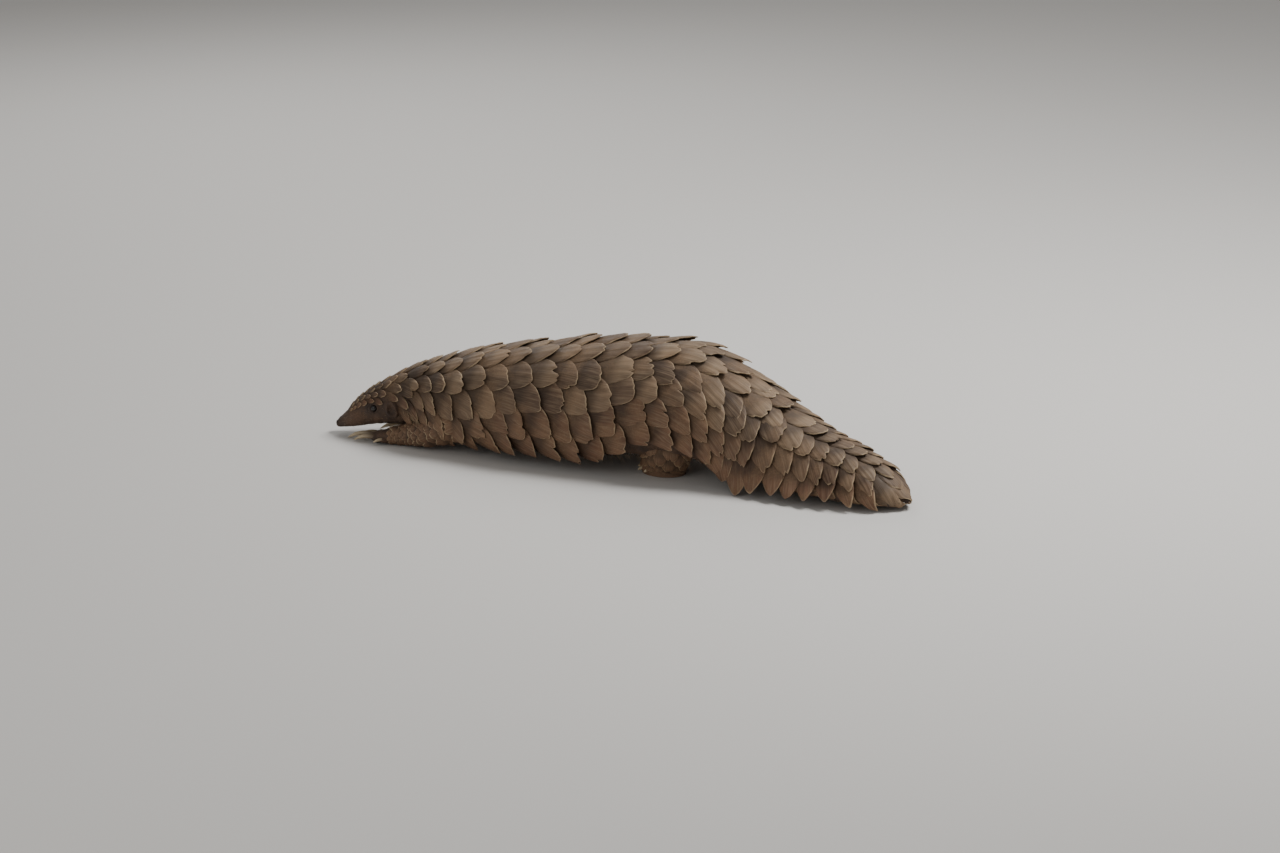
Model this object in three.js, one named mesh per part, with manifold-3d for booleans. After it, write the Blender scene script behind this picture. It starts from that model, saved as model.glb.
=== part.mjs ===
// A ground pangolin, life size, low on its feet with the nose to the ground and the tail bent to its left.
// Millimetres, +Z up. The head points to -X, the animal's left side faces -Y, and the floor is z = 0.
import * as THREE from "three";
import { mergeVertices } from "three/addons/utils/BufferGeometryUtils.js";
import Module from "manifold-3d";

const wasm = await Module();
wasm.setup();

// The clear space between neighbouring pieces, and the middle of the animal seen from above.
const GAP = 0.3;
const MIDDLE = { x: 45, y: -16 };

// How deep a scale's underside lies in the skin, and the seed of the small differences between scales.
const SUNK = 4;
const SEED = 41;

// A table of numbers as a list of stations, each with a value for every name.
const stations = (names, rows) =>
  rows.map((row) => Object.fromEntries(names.map((name, i) => [name, row[i]])));

// Stations from the nose to the tip of the tail. x, y and z place the axis. side, up and down are the
// distances from it to the skin. belly is the squareness of the skin's lower half and hang that of the
// surface its scales follow. cover is the turn from the top of the back, in degrees, of the lowest row
// of scales. pitch is the distance from one scale to the next in a row, lift the height of a scale's
// tip and flare what its outer edge adds in the lowest row.
const BODY = stations(
  ["x", "y", "z", "side", "up", "down", "belly", "hang", "cover", "pitch", "lift", "flare"],
  [
    [-417, -18, 14, 4, 4, 4, 2, 2, 30, 16, 1, 0],
    [-411, -18, 16, 9, 8, 8, 2, 2, 35, 18, 1.5, 0],
    [-388, -17, 27, 17, 17, 16, 2, 2, 45, 28, 2, 0],
    [-356, -15, 42, 27, 30, 24, 2, 2, 62, 33, 2.5, 0],
    [-318, -11, 53, 37, 43, 31, 2, 2, 84, 38, 3, 1],
    [-280, -6, 60, 48, 54, 36, 2.2, 3, 104, 42, 4, 3],
    [-238, -2, 65, 64, 64, 44, 3, 5, 106, 47, 5, 5],
    [-170, 2, 73, 84, 75, 51, 3.4, 7, 103, 50, 7, 6.5],
    [-90, 2, 77, 95, 85, 54, 3.8, 7, 103, 51, 7.5, 7],
    [0, 0, 78, 99, 100, 56, 3.8, 7, 103, 51, 7.5, 7],
    [80, -3, 77, 99, 108, 54, 3.2, 7, 97, 51, 7.5, 6],
    [150, -9, 72, 97, 112, 50, 2.2, 5, 93, 51, 7.5, 5],
    [215, -17, 62, 87, 92, 44, 2.4, 3.6, 94, 50, 7.5, 4],
    [280, -36, 42, 78, 79, 33, 3, 3, 98, 50, 7.5, 4],
    [345, -56, 28, 70, 65, 23, 3, 3, 96, 50, 7, 4],
    [405, -74, 20, 61, 56, 16, 3, 3, 94, 50, 6.5, 3],
    [455, -88, 16, 48, 41, 12, 3, 3, 92, 48, 6, 3],
    [484, -97, 14, 30, 22, 10, 3, 3, 90, 46, 5, 2],
    [494, -100, 13, 16, 11, 8, 3, 3, 90, 46, 4, 1],
  ],
);

// Where along the body, from the nose, the number of rows on each side changes.
const ROWS = [
  { until: 22, each: 0 },
  { until: 70, each: 2 },
  { until: 180, each: 3 },
  { until: 585, each: 4 },
  { until: 830, each: 3 },
  { until: 1000, each: 2 },
];

// The body's nodes, each with its length from the nose, its rings of facets and its facets around.
const TRUNK = {
  head: { from: 0, to: 112, rings: 8, sides: 20 },
  neck: { from: 112, to: 190, rings: 3, sides: 20 },
  chest: { from: 190, to: 390, rings: 5, sides: 20 },
  rump: { from: 390, to: 592, rings: 5, sides: 20 },
  tail_root: { from: 592, to: 712, rings: 4, sides: 16 },
  tail_middle: { from: 712, to: 830, rings: 4, sides: 16 },
  tail_end: { from: 830, to: 1000, rings: 5, sides: 16 },
};

const UP = new THREE.Vector3(0, 0, 1);
const FORWARD = new THREE.Vector3(-1, 0, 0);
const clamp = THREE.MathUtils.clamp;
const mix = THREE.MathUtils.lerp;
const turns = THREE.MathUtils.degToRad;

// The value at t on a smooth curve through a list, where t counts the entries.
function through(values, t) {
  const last = values.length - 1;
  const i = clamp(Math.floor(t), 0, last - 1);
  const f = t - i;
  const [a, b, c, d] = [i - 1, i, i + 1, i + 2].map((k) => values[clamp(k, 0, last)]);
  return b + 0.5 * f * (c - a + f * (2 * a - 5 * b + 4 * c - d + f * (3 * (b - c) + d - a)));
}

// A body along a bent axis, with an oval section at each station. Its left is to the left of something
// that travels along the axis with its back to the lean direction.
class Loft {
  constructor(stations, lean = UP) {
    this.lean = lean;
    this.last = stations.length - 1;
    this.columns = {};
    for (const key of Object.keys(stations[0])) this.columns[key] = stations.map((row) => row[key]);
    this.travel = [0];
    const steps = this.last * Loft.FINE;
    for (let i = 1; i <= steps; i++) {
      const step = this.centre(i / Loft.FINE).distanceTo(this.centre((i - 1) / Loft.FINE));
      this.travel.push(this.travel[i - 1] + step);
    }
    this.length = this.travel[steps];
    this.girths = new Map();
  }

  value(key, t) {
    return through(this.columns[key], clamp(t, 0, this.last));
  }

  centre(t) {
    return new THREE.Vector3(this.value("x", t), this.value("y", t), this.value("z", t));
  }

  // The station number at a distance along the axis.
  stationAt(distance) {
    const d = clamp(distance, 0, this.length);
    let low = 0;
    let high = this.travel.length - 1;
    while (high - low > 1) {
      const half = (low + high) >> 1;
      if (this.travel[half] <= d) low = half;
      else high = half;
    }
    return (low + (d - this.travel[low]) / (this.travel[high] - this.travel[low])) / Loft.FINE;
  }

  // A named value at a distance along the axis.
  at(key, distance) {
    return this.value(key, this.stationAt(distance));
  }

  // The axis point at a distance, and the directions onward, to the left and up from there.
  frame(distance) {
    const t = this.stationAt(distance);
    const near = 0.02;
    const onward = this.centre(Math.min(t + near, this.last));
    onward.sub(this.centre(Math.max(t - near, 0))).normalize();
    const left = new THREE.Vector3().crossVectors(onward, this.lean).normalize();
    const up = new THREE.Vector3().crossVectors(left, onward);
    const beyond = distance - clamp(distance, 0, this.length);
    return { t, onward, left, up, centre: this.centre(t).addScaledVector(onward, beyond) };
  }

  // Where the skin is, to the left and up from the axis, at a turn from the top.
  oval(t, turn, height) {
    const s = Math.sin(turn);
    const c = Math.cos(turn);
    const power = c < 0 ? 2 / this.value("belly", t) : 1;
    const tall = c < 0 ? this.value("down", t) : this.value("up", t);
    return [
      (this.value("side", t) + height) * Math.sign(s) * Math.abs(s) ** power,
      (tall + height) * Math.sign(c) * Math.abs(c) ** power,
    ];
  }

  // The point of the skin at a distance and a turn, raised by a height.
  skin(distance, turn, height = 0) {
    const { t, left, up, centre } = this.frame(distance);
    const [across, above] = this.oval(t, turn, height);
    return centre.addScaledVector(left, across).addScaledVector(up, above);
  }

  // Lengths over the skin from the top to each of the equal turns down to the bottom.
  girth(t) {
    const key = Math.round(t * 100) / 100;
    if (!this.girths.has(key)) {
      const run = [0];
      for (let i = 1; i <= Loft.TURNS; i++) {
        const a = this.oval(key, ((i - 1) / Loft.TURNS) * Math.PI, 0);
        const b = this.oval(key, (i / Loft.TURNS) * Math.PI, 0);
        run.push(run[i - 1] + Math.hypot(a[0] - b[0], a[1] - b[1]));
      }
      this.girths.set(key, run);
    }
    return this.girths.get(key);
  }

  // The length over the skin from the top to a turn.
  reach(distance, turn) {
    const run = this.girth(this.stationAt(distance));
    const i = (turn / Math.PI) * Loft.TURNS;
    const low = Math.min(Math.floor(i), Loft.TURNS - 1);
    return mix(run[low], run[low + 1], i - low);
  }

  // The turn at a length over the skin to the left of the top. Past the bottom it goes up the other side.
  turnAt(distance, across) {
    const run = this.girth(this.stationAt(distance));
    const half = run[Loft.TURNS];
    const far = Math.min(Math.abs(across), 2 * half);
    const near = far > half ? 2 * half - far : far;
    const high = Math.max(1, run.findIndex((length) => length >= near));
    const part = (high - 1 + (near - run[high - 1]) / (run[high] - run[high - 1])) / Loft.TURNS;
    return Math.sign(across) * Math.PI * (far > half ? 2 - part : part);
  }

  // The closed solid between two distances, grown by extra on all sides.
  solid({ from, to, rings, sides }, extra = 0) {
    return bent(tube(sides, rings), (p) => {
      const distance = mix(from - extra, to + extra, p.y + 0.5);
      if (Math.hypot(p.x, p.z) < 0.5) return this.frame(distance).centre;
      return this.skin(distance, Math.atan2(p.x, p.z), extra);
    });
  }
}
Loft.FINE = 40;
Loft.TURNS = 64;

// Unit shapes with shared corners, ready to be bent into place.
const units = new Map();
function unit(name, make) {
  if (!units.has(name)) {
    const geometry = make();
    geometry.deleteAttribute("normal");
    geometry.deleteAttribute("uv");
    units.set(name, mergeVertices(geometry, 1e-4));
  }
  return units.get(name);
}
const tube = (sides, rings) =>
  unit(`tube ${sides} ${rings}`, () => new THREE.CylinderGeometry(1, 1, 1, sides, rings));
const plate = (along, across) =>
  unit(`plate ${along} ${across}`, () => new THREE.BoxGeometry(1, 1, 1, along, across, 1));
const ball = (around, down) =>
  unit(`ball ${around} ${down}`, () => new THREE.SphereGeometry(1, around, down));
const ring = (thick, around) =>
  unit(`ring ${thick} ${around}`, () => new THREE.TorusGeometry(1, 0.3, thick, around));

// The closed solid of a unit shape whose corners are each moved by place.
function bent(geometry, place) {
  const from = geometry.getAttribute("position");
  const vertProperties = new Float32Array(from.count * 3);
  const p = new THREE.Vector3();
  for (let i = 0; i < from.count; i++) place(p.fromBufferAttribute(from, i)).toArray(vertProperties, 3 * i);
  const triVerts = new Uint32Array(geometry.index.array);
  const made = new wasm.Manifold(new wasm.Mesh({ numProp: 3, vertProperties, triVerts }));
  if (made.volume() > 0) return made;
  triVerts.reverse();
  return new wasm.Manifold(new wasm.Mesh({ numProp: 3, vertProperties, triVerts }));
}

const joined = (solids) => wasm.Manifold.union(solids);

// The largest closed surface of a solid.
function largest(solid) {
  return solid.decompose().reduce((most, one) => (one.volume() > most.volume() ? one : most));
}

// Evenly spread numbers from -1 to 1, the same in every build.
let state = SEED;
function chance() {
  state = (Math.imul(state, 1664525) + 1013904223) >>> 0;
  return state / 2147483648 - 1;
}

// The outline of a scale, around its centre: parts of its length from the root and of its half-width.
const SCALE_RIM = [
  { along: 0, aside: -0.5 },
  { along: 0.48, aside: -1 },
  { along: 1, aside: -0.3 },
  { along: 1, aside: 0.3 },
  { along: 0.48, aside: 1 },
  { along: 0, aside: 0.5 },
];
const SCALE_CENTRE = { along: 0.5, aside: 0 };
const SCALE_CROWN = 0.16;

// The height above a scale that is kept clear of the scales of the next node.
const OVER = 9;

// One scale of a loft. row gives the length over the skin from the top of the loft to the scale's line.
function scale(loft, { root, long, wide, row, drift, lift, flare, skew }, extra = 0) {
  const outer = Math.sign(row(root));
  return bent(tube(SCALE_RIM.length, 1), (p) => {
    const corner = Math.round((Math.atan2(p.x, p.z) / (2 * Math.PI) + 1) * SCALE_RIM.length);
    const rim = SCALE_RIM[corner % SCALE_RIM.length];
    const { along, aside } = Math.hypot(p.x, p.z) < 0.5 ? SCALE_CENTRE : rim;
    const distance = root - extra + along * (long + 2 * extra);
    const lean = drift * along * long + skew * along * wide;
    const across = row(distance) + lean + aside * (wide / 2) + Math.sign(aside) * extra;
    const edge = Math.max(0, aside * outer);
    const crown = SCALE_CROWN * lift * (1 - Math.abs(aside));
    const top = mix(-1, lift, along) + crown + flare * along * mix(0.7, 1, edge);
    const clear = extra ? OVER : 0;
    return loft.skin(distance, loft.turnAt(distance, across), p.y > 0 ? top + clear : -SUNK - extra);
  });
}

const body = new Loft(BODY);
const mantle = new Loft(BODY.map((row) => ({ ...row, belly: row.hang })));

// The length over the mantle from the top of the back to the lowest row of scales.
const coverAt = (distance) => mantle.reach(distance, turns(body.at("cover", distance)));

// Every scale of the back and the flanks, in staggered rings from the head to the end of the tail.
function* backScales() {
  let root = ROWS[0].until;
  for (let ring = 0; root < body.length - 44; ring++) {
    const { each } = ROWS.find(({ until }) => root < until);
    const pitch = body.at("pitch", root);
    for (let k = -each; k <= each; k++) {
      if ((k + each + ring) % 2) continue;
      const part = k / each;
      const spacing = coverAt(root) / each;
      const onTail = THREE.MathUtils.smoothstep(root, 600, 720);
      yield {
        root: root + 0.06 * pitch * chance(),
        long: Math.min(1.45 * pitch * (1 + 0.05 * chance()), body.length + 8 - root),
        wide: (Math.abs(part) === 1 ? 1.35 : 1.7) * spacing * (1 + 0.05 * chance()),
        row: (distance) => part * coverAt(distance),
        drift: part * mix(0.2, 0.55, onTail) * Math.abs(part),
        lift: body.at("lift", root) * (1 + 0.15 * chance()),
        flare: body.at("flare", root) * THREE.MathUtils.smoothstep(Math.abs(part), 0.6, 1),
        skew: 0.05 * chance(),
      };
    }
    root += pitch / 2;
  }
}

// The scales under the tail, in rows on each side of its middle line.
function* underScales() {
  let root = 630;
  for (let ring = 0; root < body.length - 170; ring++) {
    const half = mantle.reach(root, Math.PI);
    const room = half - coverAt(root);
    const each = 2;
    for (let k = -each + 1; k < each; k++) {
      if ((k + each + ring) % 2) continue;
      const part = k / each;
      yield {
        root,
        long: 72,
        wide: (1.55 * room) / each,
        row: (distance) => mix(mantle.reach(distance, Math.PI), coverAt(distance), part),
        drift: -0.12 * part,
        lift: 4,
        flare: 0,
        skew: 0.04 * chance(),
      };
    }
    root += 54;
  }
}

const scales = [...backScales(), ...underScales()];

// Legs, as distances forward of a start and out from the body's axis. scales are the rings of scales on
// the leg's outer side.
const FORELEG = [
  { x: -8, out: 48, z: 56, side: 24, up: 28, down: 28, belly: 2 },
  { x: -28, out: 52, z: 42, side: 28, up: 28, down: 27, belly: 2 },
  { x: -68, out: 46, z: 24, side: 22, up: 20, down: 20, belly: 2 },
  { x: -105, out: 37, z: 16, side: 17, up: 15, down: 15, belly: 2 },
  { x: -135, out: 31, z: 11, side: 18, up: 11, down: 12, belly: 2 },
  { x: -155, out: 28, z: 8, side: 16, up: 8, down: 10, belly: 2 },
  { x: -163, out: 28, z: 7, side: 9, up: 5, down: 7, belly: 2 },
];
const HINDLEG = [
  { x: 8, out: 44, z: 92, side: 38, up: 44, down: 44, belly: 2 },
  { x: 4, out: 50, z: 62, side: 36, up: 46, down: 44, belly: 2 },
  { x: 0, out: 48, z: 34, side: 32, up: 40, down: 38, belly: 2 },
  { x: -5, out: 44, z: 14, side: 27, up: 36, down: 33, belly: 2 },
  { x: -6, out: 43, z: -8, side: 26, up: 35, down: 32, belly: 2 },
];

// Digits, placed from the end of the foreleg or the middle of the sole: forward, out, and the turn
// outward in degrees. long is the bare length of the claw and thick its half-width at the root.
const FORE_DIGITS = [
  { name: "inner", forward: -24, out: -18, turn: -26, long: 16, thick: 3.2 },
  { name: "second", forward: -8, out: -10, turn: -6, long: 36, thick: 4.2 },
  { name: "middle", forward: -4, out: 0, turn: 0, long: 45, thick: 4.8 },
  { name: "fourth", forward: -8, out: 10, turn: 6, long: 34, thick: 4.2 },
  { name: "outer", forward: -24, out: 18, turn: 26, long: 15, thick: 3.2 },
];
const HIND_DIGITS = [
  { name: "inner", forward: 18, out: -21, turn: -48, long: 8, thick: 4 },
  { name: "second", forward: 27, out: -12, turn: -24, long: 10, thick: 4.3 },
  { name: "middle", forward: 31, out: 0, turn: 0, long: 11, thick: 4.5 },
  { name: "fourth", forward: 27, out: 12, turn: 24, long: 10, thick: 4.3 },
  { name: "outer", forward: 18, out: 21, turn: 48, long: 8, thick: 4 },
];

// Scales on the outer side of a leg: the distance of each root down the leg and its turn from the top.
const FORE_SCALES = [
  { root: 6, turn: 95 },
  { root: 28, turn: 62 },
  { root: 48, turn: 28 },
  { root: 48, turn: 96 },
];
const HIND_SCALES = [
  { root: 30, turn: 60 },
  { root: 42, turn: 100 },
];
const LEG_SCALE = { long: 44, wide: 40, lift: 4 };

const FORE = {
  shape: FORELEG,
  lean: UP,
  scales: FORE_SCALES,
  digits: FORE_DIGITS,
  toe: -163,
  rings: 7,
};
const HIND = {
  shape: HINDLEG,
  lean: FORWARD,
  scales: HIND_SCALES,
  digits: HIND_DIGITS,
  toe: -6,
  rings: 4,
};
const LEGS = {
  foreleg_left: { ...FORE, from: -186, side: -1 },
  foreleg_right: { ...FORE, from: -158, side: 1 },
  hindleg_left: { ...HIND, from: 124, side: -1 },
  hindleg_right: { ...HIND, from: 106, side: 1 },
};
const TOE = { high: 8, bulge: 1.25, back: 5 };
const CLAW_ARCH = [
  { part: 0, rise: 0, width: 1 },
  { part: 0.4, rise: 0.05, width: 0.92 },
  { part: 0.7, rise: 0, width: 0.68 },
  { part: 0.9, rise: -0.09, width: 0.38 },
  { part: 1, rise: -0.15, width: 0.12 },
];

// The body's axis to the side, at a place along x.
function axisAt(x) {
  const places = body.columns.x;
  const i = clamp(places.findIndex((place) => place > x) - 1, 0, places.length - 2);
  return mix(body.columns.y[i], body.columns.y[i + 1], (x - places[i]) / (places[i + 1] - places[i]));
}

function legLoft({ shape, from, side, lean }) {
  const rows = shape.map(({ x, out, ...rest }) => {
    const along = from + x;
    return { x: along, y: axisAt(along) + side * out, ...rest };
  });
  return new Loft(rows, lean);
}

function legScales(loft, { scales: places, side }, extra) {
  return places.map(({ root, turn }) => {
    const row = (distance) => side * loft.reach(distance, turns(turn));
    return scale(loft, { ...LEG_SCALE, root, row, drift: 0, flare: 0, skew: 0 }, extra);
  });
}

// Where a digit leaves its foot, and the way it points.
function digitPlace({ shape, from, side, toe }, { forward, out, turn }) {
  const { x, out: aside } = shape[shape.length - 1];
  const start = from + (toe === x ? x : toe);
  const at = new THREE.Vector3(start - forward, axisAt(start) + side * (aside + out), TOE.high);
  const way = new THREE.Vector3(-Math.cos(turns(turn)), side * Math.sin(turns(turn)), 0);
  return { at, way };
}

// A claw, flatter than it is wide, that bends down to a blunt point.
function clawLoft(leg, digit) {
  const { at, way } = digitPlace(leg, digit);
  const whole = digit.long + TOE.back;
  const rows = CLAW_ARCH.map(({ part, rise, width }) => {
    const place = at.clone().addScaledVector(way, part * whole - TOE.back);
    const thick = digit.thick * width;
    const tall = thick * 0.85;
    const z = place.z + rise * whole;
    return { x: place.x, y: place.y, z, side: thick, up: tall, down: tall, belly: 2 };
  });
  return new Loft(rows);
}

function toe(leg, digit, extra = 0) {
  const { at, way } = digitPlace(leg, digit);
  const radius = digit.thick * TOE.bulge + extra;
  const aside = new THREE.Vector3().crossVectors(UP, way);
  return bent(ball(5, 4), (p) => {
    const far = at.clone().addScaledVector(way, p.x * (radius + 2) - 2);
    return far.addScaledVector(aside, p.z * radius).addScaledVector(UP, p.y * radius);
  });
}

// A frame on the skin: onward along the body, down around it, and out from it.
function spot(distance, turn, height = 0) {
  const at = body.skin(distance, turn, height);
  const { onward, centre } = body.frame(distance);
  const out = at.clone().sub(centre);
  out.addScaledVector(onward, -out.dot(onward)).normalize();
  const round = new THREE.Vector3().crossVectors(out, onward);
  return new THREE.Matrix4().makeBasis(onward, round, out).setPosition(at);
}

// A unit shape stretched to a size and set in a frame.
function placed(geometry, frame, size) {
  return bent(geometry, (p) => p.multiply(size).applyMatrix4(frame));
}

// The small forms of the head. along is the distance from the nose, turn the degrees from the top.
const EYE = { along: 77, turn: 79, radius: 5.2, height: -1.8 };
const LIDS = { long: 7.2, tall: 5.6, thick: 6, height: 0.6 };
const EAR = { along: 106, turn: 92, size: new THREE.Vector3(9, 13, 5.5), height: 1 };
const EAR_CUP = { size: new THREE.Vector3(6, 9.5, 5), shift: new THREE.Vector3(-3, 0, 3.5) };
const MOUTH = { from: -4, to: 42, turn: 124, wide: 0.9, deep: 1.8, lip: 1.5 };
const NOSTRIL = { along: 3.5, turn: 62, size: new THREE.Vector3(2.2, 1.6, 2), height: -0.6 };

const eyeSolid = (side, extra = 0) => {
  const size = new THREE.Vector3().setScalar(EYE.radius + extra);
  return placed(ball(10, 6), spot(EYE.along, side * turns(EYE.turn), EYE.height), size);
};

function earSolid(side, extra = 0) {
  const frame = spot(EAR.along, side * turns(EAR.turn), EAR.height);
  const shell = placed(ball(8, 6), frame, EAR.size.clone().addScalar(extra));
  if (extra) return shell;
  const inner = bent(ball(8, 5), (p) => p.multiply(EAR_CUP.size).add(EAR_CUP.shift).applyMatrix4(frame));
  return shell.subtract(inner);
}

function headDetail(solid) {
  const added = [];
  const cuts = [];
  for (const side of [-1, 1]) {
    const frame = spot(EYE.along, side * turns(EYE.turn), LIDS.height);
    added.push(placed(ring(4, 9), frame, new THREE.Vector3(LIDS.long, LIDS.tall, LIDS.thick)));
    const line = (across, height, p) =>
      body.skin(mix(MOUTH.from, MOUTH.to, p), side * turns(MOUTH.turn), height).add(across);
    added.push(
      bent(tube(4, 3), (p) => {
        const rim = new THREE.Vector3(0, 0, p.z * MOUTH.lip);
        return line(rim, (p.x - 0.2) * MOUTH.lip, p.y * 0.86 + 0.5);
      }),
    );
    cuts.push(
      bent(plate(3, 1), (p) => {
        const rim = new THREE.Vector3(0, 0, p.y * MOUTH.wide);
        return line(rim, p.z > 0 ? 4 : -MOUTH.deep, p.x + 0.5);
      }),
    );
    const nostril = spot(NOSTRIL.along, side * turns(NOSTRIL.turn), NOSTRIL.height);
    cuts.push(placed(ball(6, 4), nostril, NOSTRIL.size));
  }
  return joined([solid, ...added]).subtract(joined(cuts));
}

const floor = bent(plate(1, 1), (p) => p.multiply(new THREE.Vector3(2000, 1000, 100)).setZ(p.z - 50));
const coat = new THREE.MeshStandardMaterial({ name: "scales", color: 0x77684f, roughness: 0.7 });
const hide = new THREE.MeshStandardMaterial({ name: "hide", color: 0x4b4038, roughness: 0.85 });
const horn = new THREE.MeshStandardMaterial({ name: "claws", color: 0x8d7b62, roughness: 0.5 });
const wet = new THREE.MeshStandardMaterial({ name: "eyes", color: 0x100c0a, roughness: 0.1 });

const pangolin = new THREE.Group();
const kept = [];

// Adds a node: the largest part of its solid that is clear of every node before it and of the floor.
function add(name, solid, grown, material) {
  const clear = kept.length ? solid.subtract(joined(kept)) : solid;
  const { vertProperties, triVerts } = largest(clear.subtract(floor)).getMesh();
  const geometry = new THREE.BufferGeometry();
  geometry.setAttribute("position", new THREE.BufferAttribute(vertProperties, 3));
  geometry.setIndex(new THREE.BufferAttribute(triVerts, 1));
  geometry.computeVertexNormals();
  const mesh = new THREE.Mesh(geometry, material);
  mesh.name = name;
  pangolin.add(mesh);
  kept.push(joined([solid, grown]));
}

const SIDES = { left: -1, right: 1 };
for (const [name, side] of Object.entries(SIDES)) {
  add(`eye_${name}`, eyeSolid(-side), eyeSolid(-side, GAP), wet);
}
for (const [name, side] of Object.entries(SIDES)) {
  add(`ear_${name}`, earSolid(-side), earSolid(-side, GAP), hide);
}

for (const [name, length] of Object.entries(TRUNK)) {
  const span = { ...length, from: Math.max(0, length.from - 1), to: Math.min(length.to - GAP, body.length) };
  const own = scales.filter(({ root }) => root >= length.from && root < length.to);
  const solid = joined([body.solid(span), ...own.map((one) => scale(mantle, one))]);
  const grown = joined([body.solid(span, GAP), ...own.map((one) => scale(mantle, one, GAP))]);
  add(name, name === "head" ? headDetail(solid) : solid, grown, coat);
}
for (const [name, leg] of Object.entries(LEGS)) {
  const loft = legLoft(leg);
  const span = { from: 0, to: loft.length, rings: leg.rings, sides: 10 };
  const shape = (extra) => {
    const toes = leg.digits.map((digit) => toe(leg, digit, extra));
    return joined([loft.solid(span, extra), ...toes, ...legScales(loft, leg, extra)]);
  };
  add(name, shape(0), shape(GAP), hide);
}
for (const [name, leg] of Object.entries(LEGS)) {
  for (const digit of leg.digits) {
    const claw = clawLoft(leg, digit);
    const span = { from: 0, to: claw.length, rings: 4, sides: 5 };
    add(`claw_${name.replace("leg", "")}_${digit.name}`, claw.solid(span), claw.solid(span, GAP), horn);
  }
}

pangolin.position.set(-MIDDLE.x, -MIDDLE.y, 0);

export default pangolin;
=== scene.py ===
"""A ground pangolin, low on its feet with its nose to the ground, with its scales, hide and claws.

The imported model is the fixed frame. Sizes are in millimetres, as in the solids, and become metres where a
mesh is made. The head points to -X, the animal's left side faces -Y, and the floor is z = 0.
"""

from __future__ import annotations

import logging
import math
from collections.abc import Callable, Iterator
from dataclasses import dataclass, field
from enum import Enum
from typing import NamedTuple

import bpy
import numpy as np
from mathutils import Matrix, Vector

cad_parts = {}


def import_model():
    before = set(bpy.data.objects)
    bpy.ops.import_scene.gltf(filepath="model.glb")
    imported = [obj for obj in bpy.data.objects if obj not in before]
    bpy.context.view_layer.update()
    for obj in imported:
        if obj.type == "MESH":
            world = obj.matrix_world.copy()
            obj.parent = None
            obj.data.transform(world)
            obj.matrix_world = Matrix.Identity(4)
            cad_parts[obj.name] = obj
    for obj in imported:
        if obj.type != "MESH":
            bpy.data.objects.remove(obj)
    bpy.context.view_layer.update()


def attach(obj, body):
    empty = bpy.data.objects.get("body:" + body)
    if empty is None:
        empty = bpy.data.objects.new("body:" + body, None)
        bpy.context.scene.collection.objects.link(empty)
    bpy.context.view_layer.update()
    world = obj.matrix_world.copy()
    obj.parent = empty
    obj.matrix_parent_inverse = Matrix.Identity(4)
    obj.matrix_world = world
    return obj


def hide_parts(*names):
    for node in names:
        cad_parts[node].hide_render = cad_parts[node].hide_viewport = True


log = logging.getLogger("pangolin")

MM = 0.001
MIDDLE = np.array([45.0, -16.0, 0.0])
SEED = 41


class Side(Enum):
    """A side of the animal, as the sign of its Y."""

    LEFT = -1
    RIGHT = 1


class Slot(Enum):
    """The record's material slots."""

    SCALES = "scales"
    HIDE = "hide"
    CLAW = "claw"
    EYE = "eye"


# The stations of the body from the nose to the tip of the tail, one tuple for each, in this order.
STATION_KEYS = ("x", "y", "z", "side", "up", "down", "belly", "hang", "cover", "pitch", "lift", "flare")
BODY_STATIONS = (
    (-417, -18, 14, 4, 4, 4, 2, 2, 22, 7, 1, 0),
    (-411, -18, 16, 9, 8, 8, 2, 2, 25, 8, 1.2, 0),
    (-388, -17, 27, 17, 17, 16, 2, 2, 34, 9, 1.4, 0),
    (-356, -15, 42, 27, 30, 24, 2, 2, 46, 11, 1.7, 0),
    (-318, -11, 53, 37, 43, 31, 2, 2, 74, 16, 2.8, 0.5),
    (-280, -6, 60, 48, 54, 36, 2.2, 3, 102, 22, 5, 2),
    (-238, -2, 65, 64, 64, 44, 3, 5, 112, 28, 6.8, 4),
    (-170, 2, 73, 84, 75, 51, 3.4, 7, 103, 34, 8.2, 6),
    (-90, 2, 77, 95, 85, 54, 3.8, 7, 95, 37, 9, 7),
    (0, 0, 78, 99, 100, 56, 3.8, 7, 94, 37, 9, 7),
    (80, -3, 77, 99, 108, 54, 3.2, 7, 85, 37, 9, 6),
    (150, -9, 72, 97, 112, 50, 2.2, 5, 81, 37, 8.5, 5),
    (215, -17, 62, 87, 92, 44, 2.4, 3.6, 83, 33, 8, 6),
    (280, -36, 42, 78, 79, 33, 3, 3, 72, 30, 8, 7),
    (345, -56, 28, 70, 65, 23, 3, 3, 64, 27, 7.5, 6),
    (405, -74, 20, 61, 56, 16, 3, 3, 60, 25, 7, 6),
    (455, -88, 16, 48, 41, 12, 3, 3, 62, 24, 6, 5),
    (484, -97, 14, 30, 22, 10, 3, 3, 64, 22, 4, 2),
    (494, -100, 13, 16, 11, 8, 3, 3, 66, 20, 2, 0),
)

# Where along the body, from the nose, the number of rows on each side changes.
ROWS = ((26, 0), (56, 2), (88, 3), (118, 4), (630, 5), (690, 4), (880, 3), (1000, 2))

# Distances from the nose between which one part of the animal goes over into the next.
CHEEK_START = (30, 60)
NECK_START = (96, 120)
HEAD_END = (96, 118)
THROAT_START = (110, 170)
FACE_END = (124, 134)
NECK_END = (190, 240)
TAIL_START = (600, 700)
TIP_START = (830, 910)
TIP_THIN = (840, 920)

# The parts of the way to the lowest row between which the back goes over into the flank.
FLANK = (0.1, 0.5)

# How far the roots of the scales lie under the plain surface, and where along the body they sink to that.
SUNK = 4.5
SUNK_RAMP = (110, 210)

# Where along the body the edge of the coat begins to be evened out, and where it is so fully.
EVENED = (140, 240)

# How far the hide goes past the last station.
TIP_PAST = 9

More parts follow.
